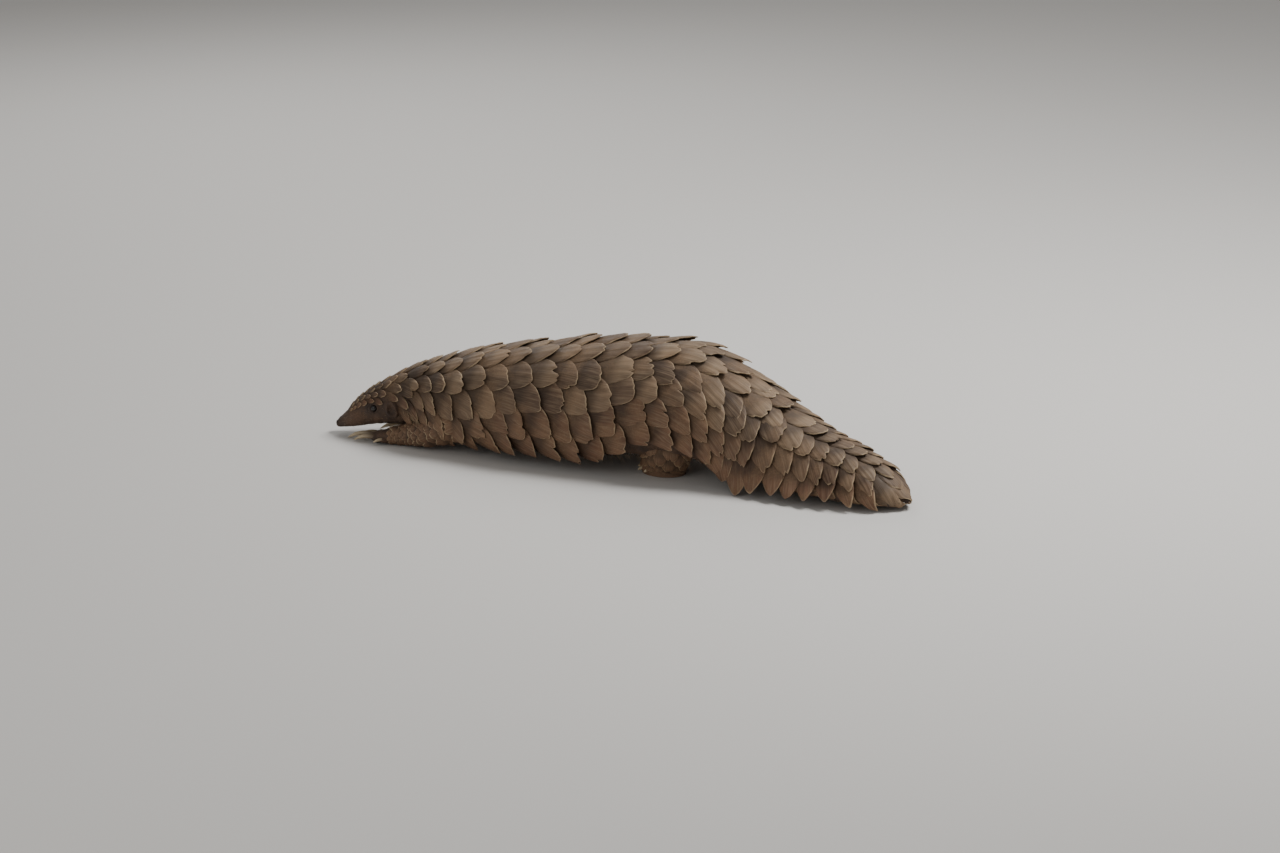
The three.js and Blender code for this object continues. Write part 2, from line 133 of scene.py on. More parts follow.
LEG_KEYS = ("x", "out", "z", "side", "up", "down", "belly")
FORELEG_STATIONS = (
    (-8, 48, 56, 24, 28, 28, 2),
    (-28, 52, 42, 28, 28, 27, 2),
    (-68, 46, 24, 22, 20, 20, 2),
    (-105, 37, 16, 17, 15, 15, 2),
    (-135, 31, 11, 18, 11, 12, 2),
    (-155, 28, 8, 16, 8, 10, 2),
    (-163, 28, 7, 9, 5, 7, 2),
)
HINDLEG_STATIONS = (
    (8, 44, 92, 38, 44, 44, 2),
    (4, 50, 62, 36, 46, 44, 2),
    (0, 48, 34, 32, 40, 38, 2),
    (-5, 44, 14, 27, 36, 33, 2),
    (-6, 43, -8, 26, 35, 32, 2),
)

UP = np.array([0.0, 0.0, 1.0])
FORWARD = np.array([-1.0, 0.0, 0.0])


def mix(a: float | np.ndarray, b: float | np.ndarray, t: float | np.ndarray) -> float | np.ndarray:
    """The value at part t of the way from a to b."""
    return a + (b - a) * t


def smooth(x: float | np.ndarray, low: float, high: float) -> float | np.ndarray:
    """0 below low, 1 above high, and an even S between them."""
    t = np.clip((np.asarray(x, float) - low) / (high - low), 0, 1)
    return t * t * (3 - 2 * t)


def hill(x: float | np.ndarray, middle: float, width: float) -> float | np.ndarray:
    """A smooth rise to 1 at the middle that has faded at about twice the width."""
    return np.exp(-(((x - middle) / width) ** 2))


class Swell(NamedTuple):
    """A smooth rise, or a dip where its height is below 0."""

    height: float
    middle: float
    width: float

    def at(self, x: float | np.ndarray) -> float | np.ndarray:
        """Its height at a place."""
        return self.height * hill(x, self.middle, self.width)


def swell_all(forms: tuple[Swell, ...], x: np.ndarray) -> np.ndarray:
    """The heights of several swells together."""
    return sum(form.at(x) for form in forms)


class Fade(NamedTuple):
    """How a pattern shows: its least up to the value start, and its most from the value full on."""

    start: float
    full: float
    most: float = 1.0
    least: float = 0.0


class Relief(NamedTuple):
    """How far a pattern stands out of a surface, in metres, and how strongly that shows."""

    distance: float
    strength: float


# The swell of the mantle over the upper arm, placed along x.
SHOULDER = Swell(13.0, -222, 36)


class Loft:
    """A body along a bent axis, with an oval section at each station.

    Attributes:
        STEP: The distance between two entries of its tables.
        FINE: The number of steps from one station to the next while the axis is measured.
        TURNS: The number of steps over one half of a section.
        CLOSING: The length in which it closes past its ends.
        length: The length of the axis.
    """

    STEP = 1.0
    FINE = 40
    TURNS = 96
    CLOSING = 14.0

    def __init__(self, stations: list[dict[str, float]], lean: np.ndarray = UP) -> None:
        """Measures the axis in small steps.

        Args:
            stations: The stations from the start to the end, each with a value for every name.
            lean: The direction that the top of a section leans to.
        """
        keys = stations[0].keys()
        last = len(stations) - 1
        t = np.linspace(0, last, last * self.FINE + 1)
        curves = {key: self._through(np.array([row[key] for row in stations], float), t) for key in keys}
        places = np.stack([curves.pop(key) for key in ("x", "y", "z")], axis=1)
        travel = np.concatenate([[0], np.cumsum(np.linalg.norm(np.diff(places, axis=0), axis=1))])
        self.length = float(travel[-1])
        self.marks = np.linspace(0, self.length, int(self.length / self.STEP) + 1)
        self.curves = {key: np.interp(self.marks, travel, curve) for key, curve in curves.items()}
        self.axis = np.stack([np.interp(self.marks, travel, places[:, i]) for i in range(3)], axis=1)
        onward = np.gradient(self.axis, axis=0)
        self.onward = onward / np.linalg.norm(onward, axis=1, keepdims=True)
        left = np.cross(self.onward, lean)
        self.left = left / np.linalg.norm(left, axis=1, keepdims=True)
        self.above = np.cross(self.left, self.onward)
        self.turns = np.linspace(0, math.pi, self.TURNS + 1)
        across, above = self.oval(self.marks[:, None], self.turns[None, :], 0.0)
        steps = np.hypot(np.diff(across, axis=1), np.diff(above, axis=1))
        self.runs = np.concatenate([np.zeros((len(self.marks), 1)), np.cumsum(steps, axis=1)], axis=1)
        shares = np.linspace(0, 1, self.TURNS + 1)
        self.shared = np.stack([np.interp(shares, run / run[-1], self.turns) for run in self.runs])

    @staticmethod
    def _through(values: np.ndarray, t: np.ndarray) -> np.ndarray:
        """A smooth curve through a list of values.

        Args:
            values: The values.
            t: Places on the curve, where 1 is the second value.

        Returns:
            The curve's value at each place.
        """
        last = len(values) - 1
        i = np.clip(np.floor(t).astype(int), 0, last - 1)
        f = t - i
        a, b, c, d = (values[np.clip(i + k, 0, last)] for k in (-1, 0, 1, 2))
        return b + 0.5 * f * (c - a + f * (2 * a - 5 * b + 4 * c - d + f * (3 * (b - c) + d - a)))

    def at(self, key: str, distance: float | np.ndarray) -> float | np.ndarray:
        """A named value at a distance along the axis."""
        return np.interp(distance, self.marks, self.curves[key])

    def oval(
        self, distance: np.ndarray, turn: np.ndarray, height: np.ndarray | float
    ) -> tuple[np.ndarray, np.ndarray]:
        """How far the surface is to the left of the axis and above it.

        Args:
            distance: Distances along the axis.
            turn: Turns from the top, in radians.
            height: Heights above the surface.

        Returns:
            The distances to the left and upward.
        """
        s, c = np.sin(turn), np.cos(turn)
        power = np.where(c < 0, 2 / self.at("belly", distance), 1.0)
        tall = np.where(c < 0, self.at("down", distance), self.at("up", distance))
        across = (self.at("side", distance) + height) * np.sign(s) * np.abs(s) ** power
        return across, (tall + height) * np.sign(c) * np.abs(c) ** power

    def surface(self, distance: np.ndarray, turn: np.ndarray, height: np.ndarray | float = 0.0) -> np.ndarray:
        """Points over the surface, in the solids' frame.

        Args:
            distance: Distances along the axis, which may pass its ends.
            turn: Turns from the top, in radians.
            height: Heights above the surface.

        Returns:
            One row of x, y and z for each entry.
        """
        distance, turn, height = np.broadcast_arrays(np.asarray(distance, float), turn, height)
        inside = np.clip(distance, 0, self.length)
        across, above = self.oval(inside, turn, height)
        tables = (self.axis, self.onward, self.left, self.above)
        axis, onward, left, up = (self._row(table, inside) for table in tables)
        beyond = (distance - inside)[..., None]
        close = np.sqrt(np.clip(1 - np.abs(beyond) / self.CLOSING, 0, 1))
        return axis + onward * beyond + (left * across[..., None] + up * above[..., None]) * close

    def _row(self, table: np.ndarray, distance: np.ndarray) -> np.ndarray:
        """The rows of a table at distances along the axis."""
        return np.stack([np.interp(distance, self.marks, table[:, i]) for i in range(3)], axis=-1)

    def middle(self, distance: float) -> np.ndarray:
        """The axis at a distance along it."""
        return self._row(self.axis, np.clip(distance, 0, self.length))

    def reach(self, distance: float, turn: float) -> float:
        """The length over the surface from the top to a turn."""
        return float(np.interp(turn, self.turns, self.runs[self._mark(distance)]))

    def _mark(self, distance: float | np.ndarray) -> np.ndarray:
        """The number of the table entry nearest to a distance."""
        last = len(self.marks) - 1
        return np.clip(np.round(np.asarray(distance) / self.length * last).astype(int), 0, last)

    def turn_at(self, distance: np.ndarray, across: np.ndarray) -> np.ndarray:
        """The turns at lengths over the surface to the left of the top.

        Args:
            distance: Distances along the axis.
            across: Lengths over the surface, negative to the right.

        Returns:
            The turns, in radians.
        """
        mark = self._mark(distance)
        share = np.minimum(np.abs(across) / self.runs[mark, -1], 2)
        near = np.where(share > 1, 2 - share, share) * self.TURNS
        left = np.minimum(near.astype(int), self.TURNS - 1)
        turn = mix(self.shared[mark, left], self.shared[mark, left + 1], near - left)
        return np.sign(across) * np.where(share > 1, 2 * math.pi - turn, turn)


def rows_of(keys: tuple[str, ...], table: tuple[tuple[float, ...], ...]) -> list[dict[str, float]]:
    """A table of tuples as a list of named values."""
    return [dict(zip(keys, row, strict=True)) for row in table]


def over_shoulders(row: dict[str, float]) -> dict[str, float]:
    """A station of the body as one of the mantle, which hangs straighter and goes out over the upper arm."""
    return {**row, "belly": row["hang"], "side": row["side"] + float(SHOULDER.at(row["x"]))}


STATIONS = rows_of(STATION_KEYS, BODY_STATIONS)
BODY = Loft(STATIONS)
MANTLE = Loft([over_shoulders(row) for row in STATIONS])


def axis_y(x: float) -> float:
    """The body axis' place to the side at a place along x."""
    return float(np.interp(x, [row["x"] for row in STATIONS], [row["y"] for row in STATIONS]))


def cover_table(step: float = 5.0, width: float = 30.0) -> tuple[np.ndarray, np.ndarray]:
    """The length over the mantle to the lowest row of scales, evened out behind the neck.

    Args:
        step: The distance between two entries.
        width: The distance over which the lengths are evened out.

    Returns:
        The distances and the lengths.
    """
    marks = np.arange(0, BODY.length + step, step)
    turns = np.radians(BODY.at("cover", marks))
    lengths = np.array([MANTLE.reach(mark, turn) for mark, turn in zip(marks, turns)])
    share = hill(marks[:, None], marks[None, :], width)
    even = (share / share.sum(axis=1, keepdims=True)) @ lengths
    return marks, mix(lengths, even, smooth(marks, *EVENED))


COVERS = cover_table()


def cover_at(distance: float) -> float:
    """The length over the mantle from the top of the back to the lowest row of scales."""
    return float(np.interp(distance, *COVERS))


def loft_sunk(distance: float | np.ndarray) -> float | np.ndarray:
    """How far the roots of the scales, and the hide with them, lie under the plain surface of the body."""
    return SUNK * smooth(distance, *SUNK_RAMP)


def to_frame(points: np.ndarray) -> np.ndarray:
    """Points of the solids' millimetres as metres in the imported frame."""
    return (points - MIDDLE) * MM


def above_floor(points: np.ndarray, least: float = 0.4) -> np.ndarray:
    """Points of which none lies lower than a height over the floor."""
    return np.column_stack([points[:, :2], np.maximum(points[:, 2], least)])


def round_ends(part: np.ndarray, share: float) -> np.ndarray:
    """1 along a piece, and down to 0 at its two ends, each within a share of its length."""
    return np.sqrt(np.clip(np.minimum(part, 1 - part) / share, 0, 1))


def deselect_all() -> None:
    """Leaves nothing selected, so that an operator acts only on the new piece."""
    bpy.ops.object.select_all(action="DESELECT")


def select_only(obj: bpy.types.Object) -> None:
    """Selects one object and makes it the active one.

    Args:
        obj: The object.
    """
    deselect_all()
    obj.select_set(True)
    bpy.context.view_layer.objects.active = obj


def take_name(name: str) -> bpy.types.Object:
    """Names the active object and its mesh.

    Args:
        name: The new name.

    Returns:
        The active object.
    """
    made = bpy.context.active_object
    made.name = name
    made.data.name = name
    return made


def new_piece(name: str, points: np.ndarray, faces: list) -> bpy.types.Object:
    """A piece made of corners and the faces between them.

    Args:
        name: The piece's name.
        points: The corners, in the solids' millimetres.
        faces: The numbers of each face's corners.

    Returns:
        The piece.
    """
    mesh = bpy.data.meshes.new(name)
    mesh.from_pydata(to_frame(points).tolist(), [], faces)
    piece = bpy.data.objects.new(name, mesh)
    bpy.context.scene.collection.objects.link(piece)
    return piece


def set_points(obj: bpy.types.Object, points: np.ndarray) -> None:
    """Moves the corners of an object's mesh to points in metres."""
    obj.data.vertices.foreach_set("co", np.ascontiguousarray(points, np.float32).ravel())
    obj.data.update()


def get_points(obj: bpy.types.Object) -> np.ndarray:
    """The corners of an object's mesh.

    Args:
        obj: The object.

    Returns:
        One row of x, y and z for each corner, in metres.
    """
    points = np.empty(len(obj.data.vertices) * 3, np.float32)
    obj.data.vertices.foreach_get("co", points)
    return points.reshape(-1, 3).astype(float)


def paint(obj: bpy.types.Object, name: str, values: np.ndarray) -> None:
    """Stores a value for each corner of a mesh under a name that its material reads."""
    layer = obj.data.attributes.new(name, "FLOAT", "POINT")
    layer.data.foreach_set("value", np.ascontiguousarray(values, np.float32))


def unwrap(obj: bpy.types.Object, name: str, places: np.ndarray) -> None:
    """Stores a UV map in which each corner of the mesh has one place.

    Args:
        obj: The object.
        name: The map's name.
        places: One pair for each corner of the mesh.
    """
    corners = np.empty(len(obj.data.loops), np.int32)
    obj.data.loops.foreach_get("vertex_index", corners)
    layer = obj.data.uv_layers.new(name=name)
    layer.uv.foreach_set("vector", np.ascontiguousarray(places[corners], np.float32).ravel())


def home(turn: float, distance: float, length: float) -> tuple[float, float]:
    """The place on an unwrap of the skin that belongs to a turn and a distance, with a margin left around."""
    return 0.5 + turn / (2 * math.pi) * 0.98, 0.02 + 0.96 * distance / length


def lathe_ball(name: str, around: int, along: int) -> tuple[bpy.types.Object, np.ndarray, np.ndarray]:
    """A ball ready to be drawn out along a loft.

    Args:
        name: The piece's name.
        around: Its facets around.
        along: Its rings from end to end.

    Returns:
        The object, and for each corner its part of the way along, 0 to 1, and its turn in radians.
    """
    deselect_all()
    bpy.ops.mesh.primitive_uv_sphere_add(segments=around, ring_count=along, radius=1)
    made = take_name(name)
    points = get_points(made)
    part = np.arccos(np.clip(points[:, 2], -1, 1)) / math.pi
    return made, part, np.arctan2(points[:, 0], points[:, 1])


def face_out(obj: bpy.types.Object) -> None:
    """Turns all the faces of a closed mesh outward.

    Args:
        obj: The object.
    """
    select_only(obj)
    bpy.ops.object.mode_set(mode="EDIT")
    bpy.ops.mesh.select_all(action="SELECT")
    bpy.ops.mesh.normals_make_consistent(inside=False)
    bpy.ops.object.mode_set(mode="OBJECT")


def shade_soft(obj: bpy.types.Object, degrees: float) -> None:
    """Smooth shading, with edges kept where faces meet at more than an angle."""
    select_only(obj)
    bpy.ops.object.shade_smooth_by_angle(angle=math.radians(degrees))


def merge(obj: bpy.types.Object, other: bpy.types.Object) -> None:
    """Joins another closed piece into an object's closed surface and removes the other.

    Args:
        obj: The object that stays.
        other: The piece that goes into it.
    """
    union = obj.modifiers.new("join", "BOOLEAN")
    union.operation = "UNION"
    union.solver = "MANIFOLD"
    union.object = other
    select_only(obj)
    bpy.ops.object.modifier_apply(modifier=union.name)
    bpy.data.objects.remove(other)


def finish_piece(obj: bpy.types.Object, material: bpy.types.Material, slot: Slot, nodes: list[str]) -> None:
    """Dresses a piece and ties it to the frame.

    Args:
        obj: The piece.
        material: Its finish.
        slot: The record's slot for its finish; not used.
        nodes: The nodes of the frame that it stands for.
    """
    obj.data.materials.clear()
    obj.data.materials.append(material)
    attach(obj, "root")
    if nodes:
        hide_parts(*nodes)
    log.info("%s: %d faces", obj.name, len(obj.data.polygons))


class Graph:
    """A short way to place and join the nodes of a material or a node group."""

    def __init__(self, tree: bpy.types.NodeTree) -> None:
        """Starts on an empty tree."""
        self.tree = tree

    def node(
        self, kind: str, inputs: dict[str | int, object] | None = None, **settings: object
    ) -> bpy.types.Node:
        """Adds a node.

        Args:
            kind: The node's type.
            inputs: Values or sockets for its inputs, by name or number.
            settings: The node's own settings.

        Returns:
            The new node.
        """
        made = self.tree.nodes.new(kind)
        for key, value in settings.items():
            setattr(made, key, value)
        for key, value in (inputs or {}).items():
            if isinstance(value, bpy.types.NodeSocket):
                self.tree.links.new(value, made.inputs[key])
            else:
                made.inputs[key].default_value = value
        return made

    def place(self) -> bpy.types.NodeSocket:
        """The place on the object, in metres."""
        return self.node("ShaderNodeTexCoord").outputs["Object"]

    def attribute(self, name: str) -> bpy.types.NodeSocket:
        """A named value of the mesh."""
        return self.node("ShaderNodeAttribute", attribute_name=name).outputs["Fac"]

    def stretch(self, where: bpy.types.NodeSocket, scale: tuple[float, ...]) -> bpy.types.NodeSocket:
        """Coordinates with their own scale along each axis."""
        return self.node("ShaderNodeMapping", {"Vector": where, "Scale": scale}).outputs[0]

    def noise(self, where: bpy.types.NodeSocket, scale: float, detail: float) -> bpy.types.NodeSocket:
        """A noise value around one half."""
        inputs = {"Vector": where, "Scale": scale, "Detail": detail}
        return self.node("ShaderNodeTexNoise", inputs).outputs["Fac"]

    def maths(self, operation: str, a: object, b: object, clamp: bool = False) -> bpy.types.NodeSocket:
        """The result of a Math node."""
        return self.node("ShaderNodeMath", {0: a, 1: b}, operation=operation, use_clamp=clamp).outputs[0]

    def swing(self, value: bpy.types.NodeSocket, size: float) -> bpy.types.NodeSocket:
        """A noise value moved to lie around zero and given a size."""
        return self.maths("MULTIPLY", self.maths("SUBTRACT", value, 0.5), size)

    def fade(self, value: bpy.types.NodeSocket, fade: Fade) -> bpy.types.NodeSocket:
        """How much a pattern shows.

        Args:
            value: The pattern's value.
            fade: Where it begins to show and how much.

        Returns:
            The amount.
        """
        inputs = {"Value": value, "From Min": fade.start, "From Max": fade.full}
        inputs |= {"To Min": fade.least, "To Max": fade.most}
        return self.node("ShaderNodeMapRange", inputs, interpolation_type="SMOOTHSTEP").outputs[0]

    def blend(self, factor: object, first: object, second: object) -> bpy.types.NodeSocket:
        """A mix of two colours."""
        return self.node("ShaderNodeMix", {0: factor, 6: first, 7: second}, data_type="RGBA").outputs[2]

    def bump(
        self, height: bpy.types.NodeSocket, relief: Relief, normal: bpy.types.NodeSocket | None = None
    ) -> bpy.types.NodeSocket:
        """A normal raised by a height.

        Args:
            height: The height, around 0 to 1.
            relief: How far that stands out in metres, and how strongly it shows.
            normal: A normal that is already raised.

        Returns:
            The new normal.
        """
        inputs = {"Height": height, "Distance": relief.distance, "Strength": relief.strength}
        if normal is not None:
            inputs["Normal"] = normal
        return self.node("ShaderNodeBump", inputs).outputs[0]


def colour(red: int, green: int, blue: int) -> tuple[float, float, float, float]:
    """A screen colour as the linear values that a shader takes."""
    linear = [((v / 255 + 0.055) / 1.055) ** 2.4 if v > 10 else v / 255 / 12.92 for v in (red, green, blue)]
    return (*linear, 1.0)


@dataclass(frozen=True)
class Dust:
    """Pale dry soil that lies on a surface in patches of grains."""

    patch_scale: float = 24
    patches: Fade = Fade(0.38, 0.68)
    grain_scale: float = 420
    grains: Fade = Fade(0.35, 0.7, 1, 0.45)

    def group(self) -> bpy.types.NodeTree:
        """Builds the node group that the scales and the hide share, once.

        Returns:
            The node group, with inputs Colour, Dust and Amount and outputs Colour and Mask.
        """
        name = "dust on a surface"
        if name in bpy.data.node_groups:
            return bpy.data.node_groups[name]
        group = bpy.data.node_groups.new(name, "ShaderNodeTree")
        for label, kind, way in (
            ("Colour", "NodeSocketColor", "INPUT"),
            ("Dust", "NodeSocketColor", "INPUT"),
            ("Amount", "NodeSocketFloat", "INPUT"),
            ("Colour", "NodeSocketColor", "OUTPUT"),
            ("Mask", "NodeSocketFloat", "OUTPUT"),
        ):
            group.interface.new_socket(label, in_out=way, socket_type=kind)
        graph = Graph(group)
        inlet = graph.node("NodeGroupInput")
        where = graph.place()
        patches = graph.fade(graph.noise(where, self.patch_scale, 5), self.patches)
        grains = graph.fade(graph.noise(where, self.grain_scale, 2), self.grains)
        spread = graph.maths("MULTIPLY", patches, grains)
        mask = graph.maths("MULTIPLY", spread, inlet.outputs["Amount"], clamp=True)
        dusty = graph.blend(mask, inlet.outputs["Colour"], inlet.outputs["Dust"])
        graph.node("NodeGroupOutput", {0: dusty, 1: mask})
        return group

    def over(self, graph: Graph, base: bpy.types.NodeSocket, tint: tuple, amount: float) -> bpy.types.Node:
        """Lays the dust over a colour.

        Args:
            graph: The material's nodes.
            base: The colour under the dust.
            tint: The colour of the dust.
            amount: How much of it there is at most, from 0 to 1.

        Returns:
            The group's node.
        """
        inputs = {"Colour": base, "Dust": tint, "Amount": amount}
        return graph.node("ShaderNodeGroup", inputs, node_tree=self.group())


@dataclass(frozen=True)
class Finish:
    """A material that is made of nodes."""

    name: str

    def make(self) -> bpy.types.Material:
        """Builds the material.

        Returns:
            The material.
        """
        material = bpy.data.materials.new(self.name)
        material.use_nodes = True
        material.node_tree.nodes.clear()
        graph = Graph(material.node_tree)
        shader = graph.node("ShaderNodeBsdfPrincipled", self.inputs(graph))
        graph.node("ShaderNodeOutputMaterial", {"Surface": shader.outputs[0]})
        return material

    def inputs(self, graph: Graph) -> dict[str, object]:
        """The values and sockets for the shader's inputs."""
        raise NotImplementedError


@dataclass(frozen=True)
class ScaleFinish(Finish):
    """Dull horn with fine ribs along it, pale where the edge is worn thin, and darkened toward the root by
    painted shade where the scale above overlaps it.
    """

    name: str = "scale horn"
    dark: tuple[float, ...] = colour(82, 64, 51)
    light: tuple[float, ...] = colour(130, 109, 87)
    ruddy: tuple[float, ...] = colour(106, 72, 53)
    worn: tuple[float, ...] = colour(186, 164, 132)
    # The darkest horn: the colour of the streaks, and of the painted shade near each scale's root.
    root: tuple[float, ...] = colour(52, 40, 31)
    dust: tuple[float, ...] = colour(158, 126, 94)
    ribs: tuple[float, ...] = (620, 26, 1)
    streaks: tuple[float, ...] = (150, 14, 1)
    streak_shade: Fade = Fade(0.35, 0.72, 0.36)
    rib_shade: Fade = Fade(0.4, 0.7, 0.2)
    edge_wear: Fade = Fade(0.5, 1.15, 0.62)
    # How strongly the painted shade darkens each scale toward its root.
    painted_root_shade: Fade = Fade(0, 1, 0.75)
    ruddy_share: float = 0.75
    edge_patches: float = 1.6
    edge_streaks: float = 0.9
    dusty: float = 0.34
    rough: Fade = Fade(0.3, 0.7, 0.72, 0.6)
    dust_rough: float = 0.2
    shine: float = 0.34
    rib_relief: Relief = Relief(0.0005, 0.55)
    grain_relief: Relief = Relief(0.0002, 0.25)

    def inputs(self, graph: Graph) -> dict[str, object]:
        """Lays tone, streaks, ribs, wear and dust over each other.

        Args:
            graph: The material's nodes.

        Returns:
            The values and sockets for the shader's inputs.
        """
        where = graph.place()
        grain = graph.node("ShaderNodeUVMap", uv_map="Grain").outputs[0]
        ribs = graph.noise(graph.stretch(grain, self.ribs), 1.0, 3)
        streaks = graph.noise(graph.stretch(grain, self.streaks), 1.0, 4)
        # The tone differs at random from scale to scale, and is low on the head as painted shade.
        base = graph.blend(graph.fade(graph.attribute("tone"), Fade(0, 1)), self.dark, self.light)
        ruddy = graph.maths("MULTIPLY", graph.attribute("low"), self.ruddy_share)
        base = graph.blend(ruddy, base, self.ruddy)
        base = graph.blend(graph.fade(streaks, self.streak_shade), base, self.root)
        base = graph.blend(graph.fade(ribs, self.rib_shade), base, self.worn)
        edge = graph.maths("ADD", graph.attribute("worn"), graph.swing(streaks, self.edge_streaks))
        edge = graph.maths("ADD", edge, graph.swing(graph.noise(where, 42, 3), self.edge_patches))
        base = graph.blend(graph.fade(edge, self.edge_wear), base, self.worn)
        # Painted shade: each scale darkens toward its root, where the scale above overlaps it.
        base = graph.blend(graph.fade(graph.attribute("deep"), self.painted_root_shade), base, self.root)
        dust = Dust().over(graph, base, self.dust, self.dusty)
        rough = graph.fade(graph.noise(where, 160, 3), self.rough)
        dust_rough = graph.maths("MULTIPLY", dust.outputs["Mask"], self.dust_rough)
        normal = graph.bump(graph.noise(where, 900, 2), self.grain_relief, graph.bump(ribs, self.rib_relief))
        return {
            "Base Color": dust.outputs["Colour"],
            "Roughness": graph.maths("ADD", rough, dust_rough, clamp=True),
            "Normal": normal,
            "Specular IOR Level": self.shine,
        }


@dataclass(frozen=True)
class HideFinish(Finish):
    """Bare skin: dark and finely wrinkled on the face, paler under the body, with dust in the folds."""

    name: str = "bare hide"
    dark: tuple[float, ...] = colour(52, 41, 35)
    light: tuple[float, ...] = colour(96, 76, 62)
    under: tuple[float, ...] = colour(138, 108, 84)
    dust: tuple[float, ...] = colour(150, 112, 82)
    warp: float = 0.004
    crease_scale: float = 760
    crease_edge: Fade = Fade(0.0, 0.09, 0, 1)
    # How much painted shade darkens the creases.
    painted_crease_shade: float = 0.3
    crease_deep: float = 0.35
    fold_high: float = 0.8
    patches: Fade = Fade(0.35, 0.7)
    dusty: float = 0.4
    rough: Fade = Fade(0.3, 0.7, 0.84, 0.62)
    relief: Relief = Relief(0.0012, 0.7)

    def inputs(self, graph: Graph) -> dict[str, object]:
        """Lays patches, creases darkened with painted shade, and dust over each other.

        Args:
            graph: The material's nodes.

        Returns:
            The values and sockets for the shader's inputs.
        """
        where = graph.place()
        bent = graph.node("ShaderNodeTexNoise", {"Vector": where, "Scale": 260, "Detail": 2}).outputs["Color"]
        warp = graph.node("ShaderNodeVectorMath", {0: bent, 1: (self.warp,) * 3}, operation="MULTIPLY")
        warped = graph.node("ShaderNodeVectorMath", {0: warp.outputs[0], 1: where}, operation="ADD")
        inputs = {"Vector": warped.outputs[0], "Scale": self.crease_scale}
        cells = graph.node("ShaderNodeTexVoronoi", inputs, feature="DISTANCE_TO_EDGE")
        creases = graph.fade(cells.outputs["Distance"], self.crease_edge)
        folds = graph.noise(where, 120, 4)
        base = graph.blend(graph.fade(graph.noise(where, 30, 4), self.patches), self.dark, self.light)
        base = graph.blend(graph.attribute("pale"), base, self.under)
        # Painted shade: the creases are darkened toward the dark skin colour.
        base = graph.blend(graph.maths("MULTIPLY", creases, self.painted_crease_shade), base, self.dark)
        dust = Dust().over(graph, base, self.dust, self.dusty)
        raised = graph.maths("MULTIPLY", folds, self.fold_high)
        height = graph.maths("SUBTRACT", raised, graph.maths("MULTIPLY", creases, self.crease_deep))
        return {
            "Base Color": dust.outputs["Colour"],
            "Roughness": graph.fade(folds, self.rough),
            "Normal": graph.bump(height, self.relief),
        }


@dataclass(frozen=True)
class ClawFinish(Finish):
    """Pale worn horn, darker at the root and streaked along its length."""

    name: str = "claw horn"
    root: tuple[float, ...] = colour(96, 78, 60)
    tip: tuple[float, ...] = colour(196, 178, 146)
    streaks: tuple[float, ...] = (60, 700, 700)
    toward_tip: Fade = Fade(0.1, 0.8)
    streak_shade: Fade = Fade(0.4, 0.75, 0.5)
    rough: Fade = Fade(0.3, 0.7, 0.6, 0.38)
    relief: Relief = Relief(0.0003, 0.5)

    def inputs(self, graph: Graph) -> dict[str, object]:
        """Lays streaks over a colour that pales toward the tip.

        Args:
            graph: The material's nodes.

        Returns:
            The values and sockets for the shader's inputs.
        """
        streaks = graph.noise(graph.stretch(graph.place(), self.streaks), 1.0, 3)
        base = graph.blend(graph.fade(graph.attribute("along"), self.toward_tip), self.root, self.tip)
        return {
            "Base Color": graph.blend(graph.fade(streaks, self.streak_shade), base, self.root),
            "Roughness": graph.fade(streaks, self.rough),
            "Normal": graph.bump(streaks, self.relief),
        }


@dataclass(frozen=True)
class EyeFinish(Finish):
    """A small dark wet eye."""

    name: str = "wet eye"
    tint: tuple[float, ...] = colour(22, 15, 12)
    rough: float = 0.14
    coat: float = 0.15

    def inputs(self, graph: Graph) -> dict[str, object]:
        """The values for the shader's inputs."""
        return {"Base Color": self.tint, "Roughness": self.rough, "Coat Weight": self.coat}


@dataclass(frozen=True)
class BristleFinish(Finish):
    """Thin pale bristles, darker at the root."""

    name: str = "pale bristle"
    root: tuple[float, ...] = colour(88, 70, 54)
    tip: tuple[float, ...] = colour(178, 156, 124)
    toward_tip: Fade = Fade(0, 0.7)
    rough: float = 0.6

    def inputs(self, graph: Graph) -> dict[str, object]:
        """The values and sockets for the shader's inputs."""
        pale = graph.fade(graph.attribute("along"), self.toward_tip)
        return {"Base Color": graph.blend(pale, self.root, self.tip), "Roughness": self.rough}


class Digit(NamedTuple):
    """One digit of a foot.

    Attributes:
        name: Its name.
        forward: How far forward of the end of the leg it leaves the foot.
        out: How far out from the middle of the foot it leaves it.
        turn: Its turn outward, in degrees.
        bare: The length of claw that shows.
        thick: The claw's half-width at its root.
    """

    name: str
    forward: float
    out: float
    turn: float
    bare: float
    thick: float


class Digits(Enum):
    """The digits of the two kinds of foot."""

    FORE = (
        Digit("inner", -24, -18, -26, 16, 3.2),
        Digit("second", -8, -10, -6, 36, 4.2),
        Digit("middle", -4, 0, 0, 45, 4.8),
        Digit("fourth", -8, 10, 6, 34, 4.2),
        Digit("outer", -24, 18, 26, 15, 3.2),
    )
    HIND = (
        Digit("inner", 18, -21, -48, 8, 4),
        Digit("second", 27, -12, -24, 10, 4.3),
        Digit("middle", 31, 0, 0, 11, 4.5),
        Digit("fourth", 27, 12, 24, 10, 4.3),
        Digit("outer", 18, 21, 48, 8, 4),
    )


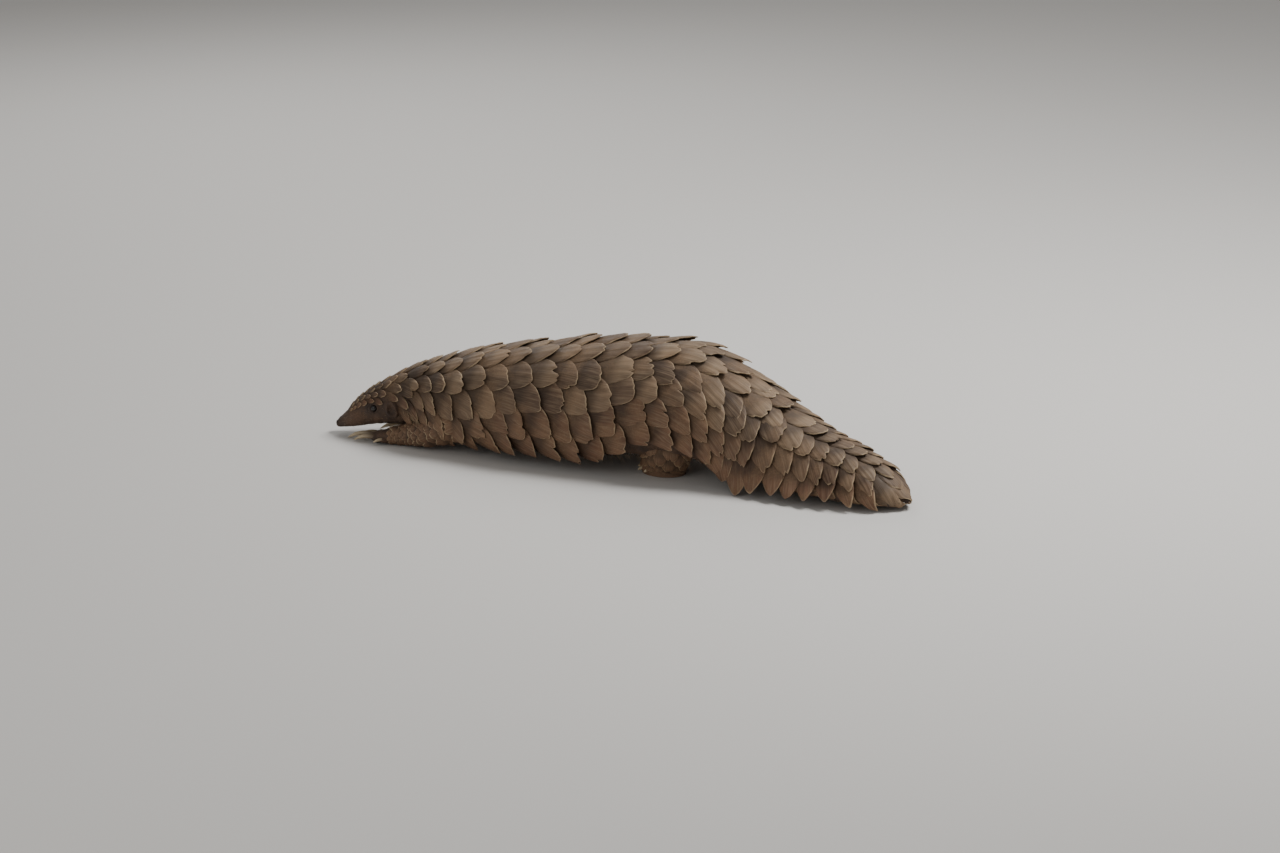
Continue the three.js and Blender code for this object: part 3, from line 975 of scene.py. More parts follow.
@dataclass
class Leg:
    """One leg: its loft and its digits."""

    name: str
    start: float
    side: Side
    table: tuple[tuple[float, ...], ...]
    lean: np.ndarray
    digits: Digits
    toe_high: float = 8
    toe_bulge: float = 1.25
    claw_back: float = 5
    loft: Loft = field(init=False)

    def __post_init__(self) -> None:
        """Places the stations beside the body's axis."""
        rows = []
        for row in rows_of(LEG_KEYS, self.table):
            out = row.pop("out")
            x = self.start + row["x"]
            rows.append({**row, "x": x, "y": axis_y(x) + self.side.value * out})
        self.loft = Loft(rows, self.lean)

    def digit_place(self, digit: Digit) -> tuple[np.ndarray, np.ndarray]:
        """Where a digit leaves the foot, and the way it points.

        Args:
            digit: The digit.

        Returns:
            The place and the unit direction.
        """
        last = dict(zip(LEG_KEYS, self.table[-1]))
        x = self.start + last["x"]
        angle = math.radians(digit.turn)
        y = axis_y(x) + self.side.value * (last["out"] + digit.out)
        at = np.array([x - digit.forward, y, self.toe_high])
        return at, np.array([-math.cos(angle), self.side.value * math.sin(angle), 0.0])


LEGS = (
    Leg("foreleg_left", -186, Side.LEFT, FORELEG_STATIONS, UP, Digits.FORE),
    Leg("foreleg_right", -158, Side.RIGHT, FORELEG_STATIONS, UP, Digits.FORE),
    Leg("hindleg_left", 124, Side.LEFT, HINDLEG_STATIONS, FORWARD, Digits.HIND),
    Leg("hindleg_right", 106, Side.RIGHT, HINDLEG_STATIONS, FORWARD, Digits.HIND),
)


def over_skin(distance: np.ndarray, degrees: np.ndarray) -> np.ndarray:
    """The length over the head's skin that belongs to a number of degrees around it."""
    return np.radians(degrees) * 0.5 * (BODY.at("side", distance) + BODY.at("up", distance))


@dataclass
class Skin:
    """The whole hide in one mesh, with the small forms of the face raised and sunk in it.

    Attributes:
        ring_parts: Parts of the way along the mesh ...
        ring_marks: ... and the distances from the nose that its rings have there.
        eye_edge: The lid and the fold round it, counted from the edge of the eyeball.
        eye_middle: The socket, counted from the eye's middle.
    """

    depth: float = 0.6
    ring_parts: tuple[float, ...] = (0, 0.1, 0.45, 1)
    ring_marks: tuple[float, ...] = (-1.0, 14, 136, BODY.length + TIP_PAST)
    eye_along: float = 77
    eye_turn: float = 79
    eye_size: float = 5.2
    eye_sunk: float = 1.8
    eye_stretch: float = 1.12
    eye_edge: tuple[Swell, ...] = (Swell(2.3, 0.9, 1.4), Swell(0.5, 5.5, 1.1))
    eye_middle: tuple[Swell, ...] = (Swell(-2.6, 0, 4.2),)
    brow: tuple[Swell, Swell] = (Swell(1.0, -2, 12), Swell(1.0, 0, 4))
    brow_above: float = 26
    mouth_turn: float = 124
    mouth_length: float = 42
    lips: tuple[Swell, ...] = (Swell(0.9, -2.0, 1.5), Swell(0.8, 2.0, 1.5), Swell(-1.5, 0, 0.8))
    lips_end: tuple[float, float] = (-6, 4)
    nostril_along: float = 3.5
    nostril_turn: float = 62
    nostril: tuple[Swell, ...] = (Swell(0.8, 2.8, 0.9), Swell(-2.2, 0, 1.5))
    pad: tuple[Swell, Swell] = (Swell(0.5, 9, 3), Swell(1.0, 0, 100))
    ear_along: float = 106
    ear_turn: float = 92
    ear_narrow: float = 0.75
    ear_flap: Swell = Swell(5.0, 11.5, 2.6)
    ear_rim: Swell = Swell(2.2, 11.5, 2.4)
    ear_cup: Swell = Swell(-3.4, 0, 4.5)

    def face_height(self, distance: np.ndarray, turn: np.ndarray) -> np.ndarray:
        """The forms of the face as heights over the plain skin.

        Args:
            distance: Distances from the nose.
            turn: Turns from the top, in radians.

        Returns:
            The heights.
        """
        degrees = np.abs(np.degrees(turn))

        def beside(middle: float) -> np.ndarray:
            """The distance over the skin from a turn."""
            return over_skin(distance, degrees - middle)

        def both(pair: tuple[Swell, Swell], along: np.ndarray, over: np.ndarray) -> np.ndarray:
            """A form that has its own swell along the head and over it."""
            return pair[0].at(along) * pair[1].at(over)

        forward = distance - self.eye_along
        away = np.hypot(forward / self.eye_stretch, beside(self.eye_turn))
        height = swell_all(self.eye_edge, away - self.eye_size) + swell_all(self.eye_middle, away)
        height += both(self.brow, forward, beside(self.eye_turn - self.brow_above))

        fade_from, fade_to = (self.mouth_length + past for past in self.lips_end)
        height += (1 - smooth(distance, fade_from, fade_to)) * swell_all(self.lips, beside(self.mouth_turn))
        pit = np.hypot(distance - self.nostril_along, beside(self.nostril_turn))
        height += swell_all(self.nostril, pit) + both(self.pad, distance, degrees)

        back, down = distance - self.ear_along, beside(self.ear_turn)
        rim = np.hypot(back / self.ear_narrow, down)
        height += self.ear_flap.at(rim) * smooth(back, -12, 3) + self.ear_rim.at(rim)
        height += self.ear_cup.at(np.hypot(back + 2, down / 1.5))
        return height * (1 - smooth(distance, *FACE_END))

    def wrinkles(self, distance: np.ndarray, turn: np.ndarray) -> np.ndarray:
        """Soft folds over the cheek, the throat and the belly.

        Args:
            distance: Distances from the nose.
            turn: Turns from the top, in radians.

        Returns:
            The heights.
        """
        fine = 0.35 * np.sin(distance / 2.9 + 2.2 * np.sin(turn * 3) + 0.7 * np.sin(distance / 11))
        broad = 0.6 * np.sin(distance / 7.5 + 1.5 * np.cos(turn * 2))
        return fine * smooth(distance, *CHEEK_START) + broad * smooth(distance, *THROAT_START)

    def body(self) -> bpy.types.Object:
        """Draws a ball out along the body, with most of its rings in the head.

        Returns:
            The hide without its legs.
        """
        made, part, turn = lathe_ball("hide", 144, 420)
        distance = np.interp(part, self.ring_parts, self.ring_marks)
        height = self.face_height(distance, turn) + self.wrinkles(distance, turn) - self.depth
        covered = 1 - smooth(np.abs(np.degrees(turn)) - BODY.at("cover", distance), 0, 25)
        height -= (loft_sunk(distance) + self.depth) * mix(0.3, 1, covered) + 3 * smooth(distance, *TIP_THIN)
        closing = round_ends(part, 0.012)
        points = BODY.surface(distance, turn, height)
        core = BODY.surface(distance, turn, -BODY.at("side", distance) * (1 - closing))
        pole = (closing < 1)[:, None]
        set_points(made, to_frame(np.where(pole, core, points)))
        face_out(made)
        return made

    def leg(self, leg: Leg) -> bpy.types.Object:
        """Draws a ball out along a leg and joins the toes to it.

        Args:
            leg: The leg.

        Returns:
            The leg's hide.
        """
        made, part, turn = lathe_ball(leg.name + "_hide", 40, 60)
        distance = mix(0, leg.loft.length, part)
        height = 0.5 * np.sin(distance / 3.1 + 1.4 * np.sin(turn * 2)) - self.depth
        side = leg.loft.at("side", distance)
        inward = (side + height) * (1 - round_ends(part, 0.05)) * 0.98
        points = leg.loft.surface(distance, turn, height - inward)
        set_points(made, to_frame(above_floor(points)))
        face_out(made)
        for digit in leg.digits.value:
            merge(made, self.toe(leg, digit))
        return made

    def toe(self, leg: Leg, digit: Digit) -> bpy.types.Object:
        """A rounded toe with folds over it.

        Args:
            leg: The leg that it belongs to.
            digit: Its digit.

        Returns:
            The toe.
        """
        at, towards = leg.digit_place(digit)
        radius = digit.thick * leg.toe_bulge
        made, part, turn = lathe_ball(f"{leg.name}_{digit.name}_toe", 20, 16)
        forth = -np.cos(part * math.pi) * (radius + 3) - 2
        width = radius * np.sin(part * math.pi) * (1 + 0.06 * np.cos(part * 22))
        points = at + np.outer(forth, towards)
        points += np.outer(width * np.sin(turn), np.cross(UP, towards)) + np.outer(width * np.cos(turn), UP)
        set_points(made, to_frame(above_floor(points)))
        face_out(made)
        return made

    def make(self, finish: HideFinish) -> bpy.types.Object:
        """Builds the hide, joined to the legs in one closed surface.

        Args:
            finish: The finish of the hide.

        Returns:
            The piece.
        """
        body = self.body()
        for leg in LEGS:
            merge(body, self.leg(leg))
        points = get_points(body) / MM + MIDDLE
        underside = (1 - smooth(points[:, 2], 20, 44)) * smooth(points[:, 0], -330, -230)
        underside *= 1 - smooth(points[:, 0], 170, 240)
        paint(body, "pale", 0.75 * underside)
        shade_soft(body, 70)
        for layer in list(body.data.uv_layers)[1:]:
            body.data.uv_layers.remove(layer)
        body.data.uv_layers[0].name = "OFBake"
        names = ["head", "neck", "chest", "rump", "tail_root", "tail_middle", "tail_end"]
        names += ["ear_left", "ear_right"] + [leg.name for leg in LEGS]
        finish_piece(body, finish.make(), Slot.HIDE, names)
        return body


@dataclass(frozen=True)
class ScalePlace:
    """Where one scale grows and what its own form is.

    Attributes:
        loft: The surface that it lies on.
        root: How far along the surface it is rooted.
        row: The length over the surface from the top to its row, at a distance.
        long: Its length.
        wide: Its width.
        angle: How far it points outward of the surface's axis, in radians.
        lift: How high its free end stands.
        flare: How much farther its outer side stands out.
        tilt: How much higher its inner side stands than its middle, at its free end.
        stiff: How flat it stays where the body is round, from 0 to 1.
        peak: How far outward its tip is, as a part of its half-width.
        taper: How pointed it is.
        rag: How torn its edge is.
        tone: How pale it is, from 0 to 1, and low on the head as painted shade.
        low: How near it is to the ruddy soil.
    """

    loft: Loft
    root: float
    row: Callable[[float], float]
    long: float
    wide: float
    angle: float
    lift: float
    flare: float = 0.0
    tilt: float = 0.0
    stiff: float = 0.3
    peak: float = 0.0
    taper: float = 0.4
    rag: float = 1.0
    tone: float = 0.5
    low: float = 0.0

    @property
    def outer(self) -> float:
        """1 on the left of the top and -1 on the right."""
        return math.copysign(1.0, self.row(self.root))

    @property
    def slope(self) -> float:
        """How fast its row moves over the surface for each step along it."""
        return (self.row(self.root + 20) - self.row(self.root)) / 20

    def sheet(
        self, ahead: np.ndarray, sideways: np.ndarray, reach: float = 8
    ) -> tuple[np.ndarray, np.ndarray]:
        """The flat sheet that touches the surface at the scale's root.

        Args:
            ahead: Distances along the surface.
            sideways: Distances over it.
            reach: How far from the root the directions are measured.

        Returns:
            Points of the sheet and the way out of it.
        """
        start = self.row(self.root)

        def on_surface(along: float, over: float) -> np.ndarray:
            """A point of the surface near the root."""
            distance = np.array(self.root + along)
            return self.loft.surface(distance, self.loft.turn_at(distance, np.array(start + over)))

        at = on_surface(0, 0)
        onward, side = on_surface(reach, reach * self.slope) - at, on_surface(0, reach) - at
        onward, side = onward / np.linalg.norm(onward), side / np.linalg.norm(side)
        out = np.cross(side, onward)
        out *= math.copysign(1.0, float(out @ (at - self.loft.middle(self.root))))
        return at + ahead[..., None] * onward + sideways[..., None] * side, out


@dataclass
class Scales:
    """All the scales of one length of the body, joined in one piece.

    Attributes:
        along: The number of rings of corners of a scale, but for two more at its tip.
        narrow: Its width at the root, as a part of the full width.
        rag: How torn its edge is.
        chip_count: The number of chips in an edge, up to but without the last.
    """

    name: str
    along: int = 10
    across: int = 24
    thick_root: float = 3.4
    thick_tip: float = 1.8
    root_deep: float = 1.6
    crown: float = 0.42
    narrow: float = 0.55
    tip_steps: tuple[float, ...] = (0.84, 0.92, 0.97, 1.0)
    rag: float = 0.035
    knots: int = 15
    chip_count: tuple[int, int] = (0, 4)
    chip_deep: tuple[float, float] = (0.03, 0.12)
    chip_wide: tuple[float, float] = (0.07, 0.16)
    worn_wide: float = 4.0

    def outline(
        self, aside: np.ndarray, place: ScalePlace, peak: float, draw: np.random.Generator
    ) -> np.ndarray:
        """How far along its length the free edge of a scale lies, with its worn and broken places.

        Args:
            aside: Places across the scale, from -1 to 1.
            place: The scale's place and form.
            peak: Where across the scale its tip is.
            draw: The source of chance.

        Returns:
            Parts of the scale's length.
        """
        far = np.abs(aside - peak) / np.where(aside > peak, 1 - peak, 1 + peak)
        edge = 1 - place.taper * far**1.7 - (0.85 - place.taper) * 0.6 * far**7
        knots = np.linspace(-1, 1, self.knots)
        torn = np.interp(aside, knots, np.abs(draw.normal(0, 1, self.knots)))
        chips = self.rag * draw.uniform(0.3, 1.5) * torn * (1 - 0.6 * far)
        for _ in range(int(draw.integers(*self.chip_count))):
            middle, deep = draw.uniform(-0.5, 0.5) + 0.5 * peak, draw.uniform(*self.chip_deep)
            chips += deep * np.clip(1 - np.abs(aside - middle) / draw.uniform(*self.chip_wide), 0, 1)
        return edge - place.rag * chips

    def heights(
        self, place: ScalePlace, part: np.ndarray, spread: np.ndarray, draw: np.random.Generator
    ) -> np.ndarray:
        """How high the upper side of a scale stands over the surface.

        Args:
            place: The scale's place and form.
            part: Parts of its length.
            spread: Places across it, from -1 to 1.
            draw: The source of chance.

        Returns:
            The heights.
        """
        outward = spread * place.outer
        sunk = loft_sunk(place.root) if place.loft is MANTLE else 0.0
        height = mix(-self.root_deep, place.lift, part**0.85) - sunk
        height += self.crown * place.lift * (1 - np.abs(spread) ** 1.8)
        height += place.flare * part**1.5 * mix(0.7, 1, np.clip(outward, 0, 1)) - place.tilt * part * outward
        return height + 0.3 * np.sin(spread * 15 + draw.uniform(0, 6)) * smooth(part, 0.2, 0.6)

    def patch(self, place: ScalePlace, draw: np.random.Generator) -> dict[str, np.ndarray]:
        """The corners of one scale and what its finish reads there.

        Args:
            place: Where the scale grows.
            draw: The source of chance.

        Returns:
            Arrays with one row for each corner, the upper side first.
        """
        aside = np.linspace(-1, 1, self.across + 1)
        even = np.linspace(0, self.tip_steps[0], self.along - 2, endpoint=False)
        steps = np.concatenate([even, self.tip_steps])[:, None]
        edge = self.outline(aside, place, place.peak * place.outer, draw)
        part = steps * edge
        spread = np.broadcast_to(aside, part.shape)
        width = self.narrow + (1 - self.narrow) * np.sin(np.clip(part / 0.5, 0, 1) * math.pi / 2)
        forth, beside = part * place.long, spread * width * place.wide / 2
        ahead = forth * math.cos(place.angle) - place.outer * beside * math.sin(place.angle)
        sideways = place.outer * forth * math.sin(place.angle) + beside * math.cos(place.angle)

        distance = place.root + ahead
        turn = place.loft.turn_at(distance, place.row(place.root) + place.slope * ahead + sideways)
        sheet, out = place.sheet(ahead, sideways)
        top = self.heights(place, part, spread, draw)
        thin = mix(self.thick_root, self.thick_tip, np.clip(part, 0, 1))
        rim = np.minimum(1 - np.abs(spread), (1 - steps) * 1.6)
        both = []
        for height in (top - 0.5 * thin * (1 - smooth(rim, 0, 0.12)), top - thin):
            wrapped = place.loft.surface(distance, turn, height)
            both.append(mix(wrapped, sheet + height[..., None] * out, place.stiff))

        from_edge = np.minimum((edge - part) * place.long, (1 - np.abs(spread)) * place.wide * 0.5 + 1.5)
        grain = (beside * (1 / width) * MM + draw.uniform(0, 5), forth * MM + draw.uniform(0, 5))
        values = {
            "tone": np.full_like(part, place.tone),
            "worn": (1 - smooth(from_edge, 0.0, self.worn_wide)) * smooth(part, 0.3, 0.7),
            # deep: how much painted shade a corner gets, most near the scale's root.
            "deep": 1 - smooth(part, 0.3, 0.8),
            "low": np.full_like(part, place.low),
            "grain": np.stack(grain, axis=-1),
        }
        patch = {key: np.concatenate([self.flat(value)] * 2) for key, value in values.items()}
        patch["points"] = np.concatenate([self.flat(points) for points in both])
        return patch

    @staticmethod
    def flat(table: np.ndarray) -> np.ndarray:
        """A grid of values as a list."""
        return table.reshape(-1, *table.shape[2:])

    def faces(self) -> np.ndarray:
        """The faces of one scale: its upper side, its lower side and its rim.

        Returns:
            The numbers of each face's four corners.
        """
        wide = self.across + 1
        tall = self.along + 2
        count = wide * tall
        quads = []
        for i in range(tall - 1):
            for j in range(self.across):
                a = i * wide + j
                quads.append((a, a + 1, a + wide + 1, a + wide))
                quads.append((count + a, count + a + wide, count + a + wide + 1, count + a + 1))
        ring = list(range(wide))
        ring += [i * wide + self.across for i in range(1, tall)]
        ring += [(tall - 1) * wide + j for j in range(self.across - 1, -1, -1)]
        ring += [i * wide for i in range(tall - 2, 0, -1)]
        for a, b in zip(ring, ring[1:] + ring[:1]):
            quads.append((b, a, count + a, count + b))
        return np.array(quads)

    def make(
        self, places: list[ScalePlace], material: bpy.types.Material, draw: np.random.Generator
    ) -> bpy.types.Object:
        """Builds the piece.

        Args:
            places: The scales' places.
            material: Their finish.
            draw: The source of chance.

        Returns:
            The piece.
        """
        patches = [self.patch(place, draw) for place in places]
        whole = {key: np.concatenate([patch[key] for patch in patches]) for key in patches[0]}
        count = len(patches[0]["points"])
        one = self.faces()
        quads = np.concatenate([one + i * count for i in range(len(patches))])
        piece = new_piece(self.name, above_floor(whole["points"], 0.3), quads.tolist())
        for key in ("tone", "worn", "deep", "low"):
            paint(piece, key, whole[key])
        unwrap(piece, "Grain", whole["grain"])
        homes = []
        for place in places:
            turn = place.loft.turn_at(np.array(place.root), np.array(place.row(place.root)))
            homes.append(home(float(turn), place.root, place.loft.length))
        local = np.concatenate([patch["grain"] - patch["grain"].mean(axis=0) for patch in patches])
        local = np.clip(local / 0.05, -1, 1) * 0.0015
        unwrap(piece, "OFBake", np.repeat(homes, count, axis=0) + local)
        face_out(piece)
        shade_soft(piece, 50)
        finish_piece(piece, material, Slot.SCALES, [])
        return piece


def row_at_turn(loft: Loft, turn: float) -> Callable[[float], float]:
    """A row that keeps to one turn of a loft, negative to the right, in radians."""
    return lambda distance: math.copysign(loft.reach(distance, abs(turn)), turn)


def row_below(part: float) -> Callable[[float], float]:
    """A row under the tail.

    Args:
        part: Its part of the way from the middle line below to the lowest row of the flank.

    Returns:
        The length over the mantle from the top to the row, at a distance.
    """

    def row(distance: float) -> float:
        """The length over the mantle at one distance."""
        half = MANTLE.reach(distance, math.pi)
        return math.copysign(half - abs(part) * (half - cover_at(distance)), part)

    return row


def on_ear(root: float, long: float, part: float, near: float = 12.5) -> bool:
    """Whether a scale of the back would lie over an ear.

    Args:
        root: Where the scale is rooted.
        long: Its length.
        part: Its row, as a part of the way to the lowest row.
        near: How near to the middle of an ear it may not come.

    Returns:
        Whether it comes that near.
    """
    distance = root + long * np.linspace(0, 1, 6)
    across = part * np.array([cover_at(mark) for mark in distance])
    degrees = np.abs(np.degrees(MANTLE.turn_at(distance, across)))
    away = np.hypot(distance - Skin.ear_along, over_skin(distance, degrees - Skin.ear_turn))
    return bool((away < near).any())


def rings(first: float, last: float, step: Callable[[float], float]) -> Iterator[tuple[int, float]]:
    """The rings of a coat.

    Args:
        first: Where the first ring is rooted.
        last: Where no more ring begins.
        step: The distance from one ring to the next, by where it is rooted.

    Yields:
        0 for the even rings and 1 for the odd ones, and where the ring is rooted.
    """
    root = first
    ring = 0
    while root < last:
        yield ring % 2, root
        root += step(root)
        ring += 1


@dataclass(frozen=True)
class BackCoat:
    """The scales of the back and the flanks, in staggered rings from the head to the end of the tail.

    A row is counted as a part of the way from the top, 0, to the lowest row, 1. On the tail the scales turn
    outward, and as far as they do, their length goes by the space between rows and not between rings.

    Attributes:
        long: The length of the lowest, the other and the turned scales, as a part of two rings' distance.
        wide: Their width, as a part of the distance between two rows.
    """

    stop: float = 34
    flank_angle: float = 13
    low_angle: float = 4
    neck_angle: float = 28
    tail_angle: float = 66
    tip_angle: float = 26
    long: tuple[float, float, float] = (1.8, 1.95, 2.2)
    wide: tuple[float, float, float] = (1.5, 1.66, 1.5)
    tilt: float = 4.5

    def places(self, draw: np.random.Generator) -> Iterator[ScalePlace]:
        """Every scale, ring by ring.

        Args:
            draw: The source of chance.

        Yields:
            One place for each scale.
        """
        last = BODY.length - self.stop
        for odd, root in rings(float(ROWS[0][0]), last, lambda mark: float(BODY.at("pitch", mark)) / 2):
            each = next(count for until, count in ROWS if root < until)
            pitch = float(BODY.at("pitch", root))
            for k in range(-each + odd, each + 1, 2):
                if not on_ear(root, self.long[0] * pitch, k / each):
                    yield self.place(root, k / each, pitch, cover_at(root) / each, draw)

    def angle(self, root: float, outer: float) -> float:
        """How far a scale points outward.

        Args:
            root: Where it is rooted.
            outer: How far outward its row is, from 0 to 1.

        Returns:
            The angle, in degrees.
        """
        on_neck = smooth(root, *NECK_START) * (1 - smooth(root, *NECK_END))
        angle = self.flank_angle * smooth(outer, *FLANK)
        angle += (self.low_angle + self.neck_angle * on_neck) * outer * outer
        angle = mix(angle, self.tail_angle * outer**0.75, smooth(root, *TAIL_START))
        return float(mix(angle, self.tip_angle * outer, smooth(root, *TIP_START)))

    def place(
        self, root: float, part: float, pitch: float, spacing: float, draw: np.random.Generator
    ) -> ScalePlace:
        """One scale.

        Args:
            root: Where its ring is rooted.
            part: Its row, negative to the right.
            pitch: The distance between two scales of a row.
            spacing: The distance between two rows.
            draw: The source of chance.

        Returns:
            Its place and form.
        """
        outer = abs(part)
        inner_kind = 0 if outer == 1 else 1
        angle = self.angle(root, outer)
        on_head = 1 - float(smooth(root, *HEAD_END))
        on_tail = float(smooth(root, *TAIL_START))
        at_tip = float(smooth(root, *TIP_START))
        leaf = on_tail * float(smooth(outer, 0.7, 1))
        turned = math.sin(math.radians(angle)) ** 2 * on_tail
        long = mix(self.long[inner_kind], self.long[2], turned) * mix(pitch, spacing, turned)
        wide = mix(self.wide[inner_kind], self.wide[2], turned) * mix(spacing, pitch, turned)
        flat = mix(mix(0.12, 0.5, outer), 0.15 + 0.85 * leaf, on_tail)
        return ScalePlace(
            loft=MANTLE,
            root=root + 0.08 * pitch * draw.uniform(-1, 1) - 0.2 * pitch * leaf,
            row=lambda distance: part * cover_at(distance),
            long=min(long * draw.uniform(0.94, 1.06), BODY.length + TIP_PAST - root),
            wide=wide * draw.uniform(0.95, 1.05),
            angle=math.radians(angle + draw.uniform(-4, 4)),
            lift=float(BODY.at("lift", root)) * draw.uniform(0.85, 1.2),
            flare=float(BODY.at("flare", root) * smooth(outer, 0.6, 1)),
            tilt=self.tilt * on_tail * (1 - at_tip) * float(smooth(outer, 0, 0.6)),
            stiff=float(flat * (1 - at_tip)),
            peak=float(mix(0.48 * smooth(outer, *FLANK) * (1 - on_head), 0.1, on_tail)),
            taper=float(mix(0.48, 0.66, on_tail * smooth(outer, 0.2, 0.9))),
            rag=1 - 0.65 * leaf - 0.4 * on_head,
            # On the head the tone is drawn low: painted shade over the head.
            tone=mix(draw.uniform(0.05, 0.95), draw.uniform(0.0, 0.3), on_head),
            low=float(smooth(outer, 0.45, 0.95)),
        )


class TipScale(NamedTuple):
    """One of the scales that close the end of the tail.

    Attributes:
        turn: Its turn from the top, in radians.
        back: How far from the end it is rooted.
        past: How far it goes past the end.
        wide: Its width.
        lift: How high its free end stands.
        taper: How pointed it is.
    """

    turn: float
    back: float
    past: float
    wide: float
    lift: float
    taper: float

    def place(self) -> ScalePlace:
        """Its place and form.

        Returns:
            The scale's place.
        """
        return ScalePlace(
            loft=MANTLE,
            root=BODY.length - self.back,
            row=row_at_turn(MANTLE, self.turn),
            long=self.back + self.past,
            wide=self.wide,
            angle=0,
            lift=self.lift,
            stiff=0,
            taper=self.taper,
            rag=0,
        )


TIP_SCALES = (
    TipScale(0.001, 48, 13.7, 66, 5.0, 0.85),
    TipScale(1.25, 40, 9, 46, 4.0, 0.7),
    TipScale(-1.25, 40, 9, 46, 4.0, 0.7),
    TipScale(math.pi, 40, 13.5, 56, 2.0, 0.85),
)


@dataclass(frozen=True)
class UnderCoat:
    """The scales under the tail, in rows on each side of its middle line."""

    first: float = 620.0
    stop: float = 40
    pitch: float = 15
    narrows: float = 800
    long: float = 52.0
    past: float = 4
    wide: float = 1.5

    def places(self, draw: np.random.Generator) -> Iterator[ScalePlace]:
        """Every scale, ring by ring.

        Args:
            draw: The source of chance.

        Yields:
            One place for each scale.
        """
        for odd, root in rings(self.first, BODY.length - self.stop, lambda _: self.pitch):
            each = 3 if root < self.narrows else 2
            room = MANTLE.reach(root, math.pi) - cover_at(root)
            for k in range(-each + 2 - odd, each, 2):
                yield ScalePlace(
                    loft=MANTLE,
                    root=root,
                    row=row_below(k / each),
                    long=min(self.long, BODY.length + self.past - root),
                    wide=self.wide * room / each,
                    angle=math.radians(-10 * abs(k / each) + draw.uniform(-3, 3)),
                    lift=2.6,
                    stiff=0.1,
                    low=0.5,
                )


@dataclass(frozen=True)
class LegCoat:
    """The small scales of a leg's outer side, from the body down to above the toes.

    Attributes:
        shrink: How much smaller the last scales are, as a part.
    """

    first: float
    last: float
    step: float
    low_turn: float
    high_turn: float
    foot: float = 26
    count: int = 4
    size: float = 29
    shrink: float = 0.5

    def places(self, leg: Leg, draw: np.random.Generator) -> Iterator[ScalePlace]:
        """Every scale of one leg.

        Args:
            leg: The leg.
            draw: The source of chance.

        Yields:
            One place for each scale.
        """

        def small(root: float) -> float:
            """The size of a ring's scales, as a part of the first ones'."""
            return 1 - self.shrink * (root - self.first) / (self.last - self.first)

        last = min(self.last, leg.loft.length - self.foot)
        for odd, root in rings(self.first, last, lambda mark: self.step * small(mark)):
            shrink = small(root)
            for k in range(self.count - odd):
                degrees = mix(self.low_turn, self.high_turn, (k + 0.5 * odd) / (self.count - 1))
                yield ScalePlace(
                    loft=leg.loft,
                    root=root + draw.uniform(-1, 1),
                    row=row_at_turn(leg.loft, leg.side.value * math.radians(degrees)),
                    long=self.size * shrink * draw.uniform(0.92, 1.08),
                    wide=self.size * shrink * draw.uniform(0.94, 1.06),
                    angle=math.radians(draw.uniform(-8, 8)),
                    lift=3.4 * shrink,
                    stiff=0.2,
                    low=0.8,
                )


LEG_COATS = {Digits.FORE: LegCoat(2.0, 124.0, 13.0, 12, 128), Digits.HIND: LegCoat(28.0, 84.0, 12.0, 25, 150)}


@dataclass
class Coat:
    """The scales of the whole animal, in a piece for each length of the body and each leg.

    Attributes:
        cuts: The pieces, each with the distance from the nose where it ends.
        small_until: Pieces that start before this distance have scales with fewer faces.
    """

    cuts: tuple[tuple[str, float], ...] = (
        ("head_scales", 118),
        ("neck_scales", 200),
        ("chest_scales", 390),
        ("rump_scales", 592),
        ("tail_root_scales", 712),
        ("tail_middle_scales", 830),
        ("tail_end_scales", 2000),
    )
    small_until: float = 150

    def make(self, finish: ScaleFinish) -> int:
        """Builds every piece.

        Args:
            finish: The finish of the scales.

        Returns:
            The number of scales.
        """
        draw = np.random.default_rng(SEED)
        material = finish.make()
        trunk = list(BackCoat().places(draw)) + [scale.place() for scale in TIP_SCALES]
        trunk += list(UnderCoat().places(draw))
        start = 0.0
        for name, end in self.cuts:
            own = [place for place in trunk if start <= place.root < end]
            scales = Scales(name, across=16, along=8) if start < self.small_until else Scales(name)
            scales.make(own, material, draw)
            start = end
        total = len(trunk)
        for leg in LEGS:
            own = list(LEG_COATS[leg.digits].places(leg, draw))
            Scales(f"{leg.name}_scales", across=12, along=7).make(own, material, draw)
            total += len(own)
        return total


@dataclass
class Eyes:
    """The two eyes, set in the sockets of the skin."""

    skin: Skin

    def make(self, finish: EyeFinish) -> None:
        """Builds both eyes.

        Args:
            finish: The finish of an eye.
        """
        material = finish.make()
        for side in Side:
            turn = side.value * math.radians(self.skin.eye_turn)
            at = BODY.surface(self.skin.eye_along, turn, -self.skin.eye_sunk)
            deselect_all()
            bpy.ops.mesh.primitive_uv_sphere_add(segments=40, ring_count=24, radius=self.skin.eye_size * MM)
            name = side.name.lower()
            eye = take_name(f"eyeball_{name}")
            set_points(eye, get_points(eye) + to_frame(at.reshape(1, 3)))
            shade_soft(eye, 80)
            finish_piece(eye, material, Slot.EYE, [f"eye_{name}"])


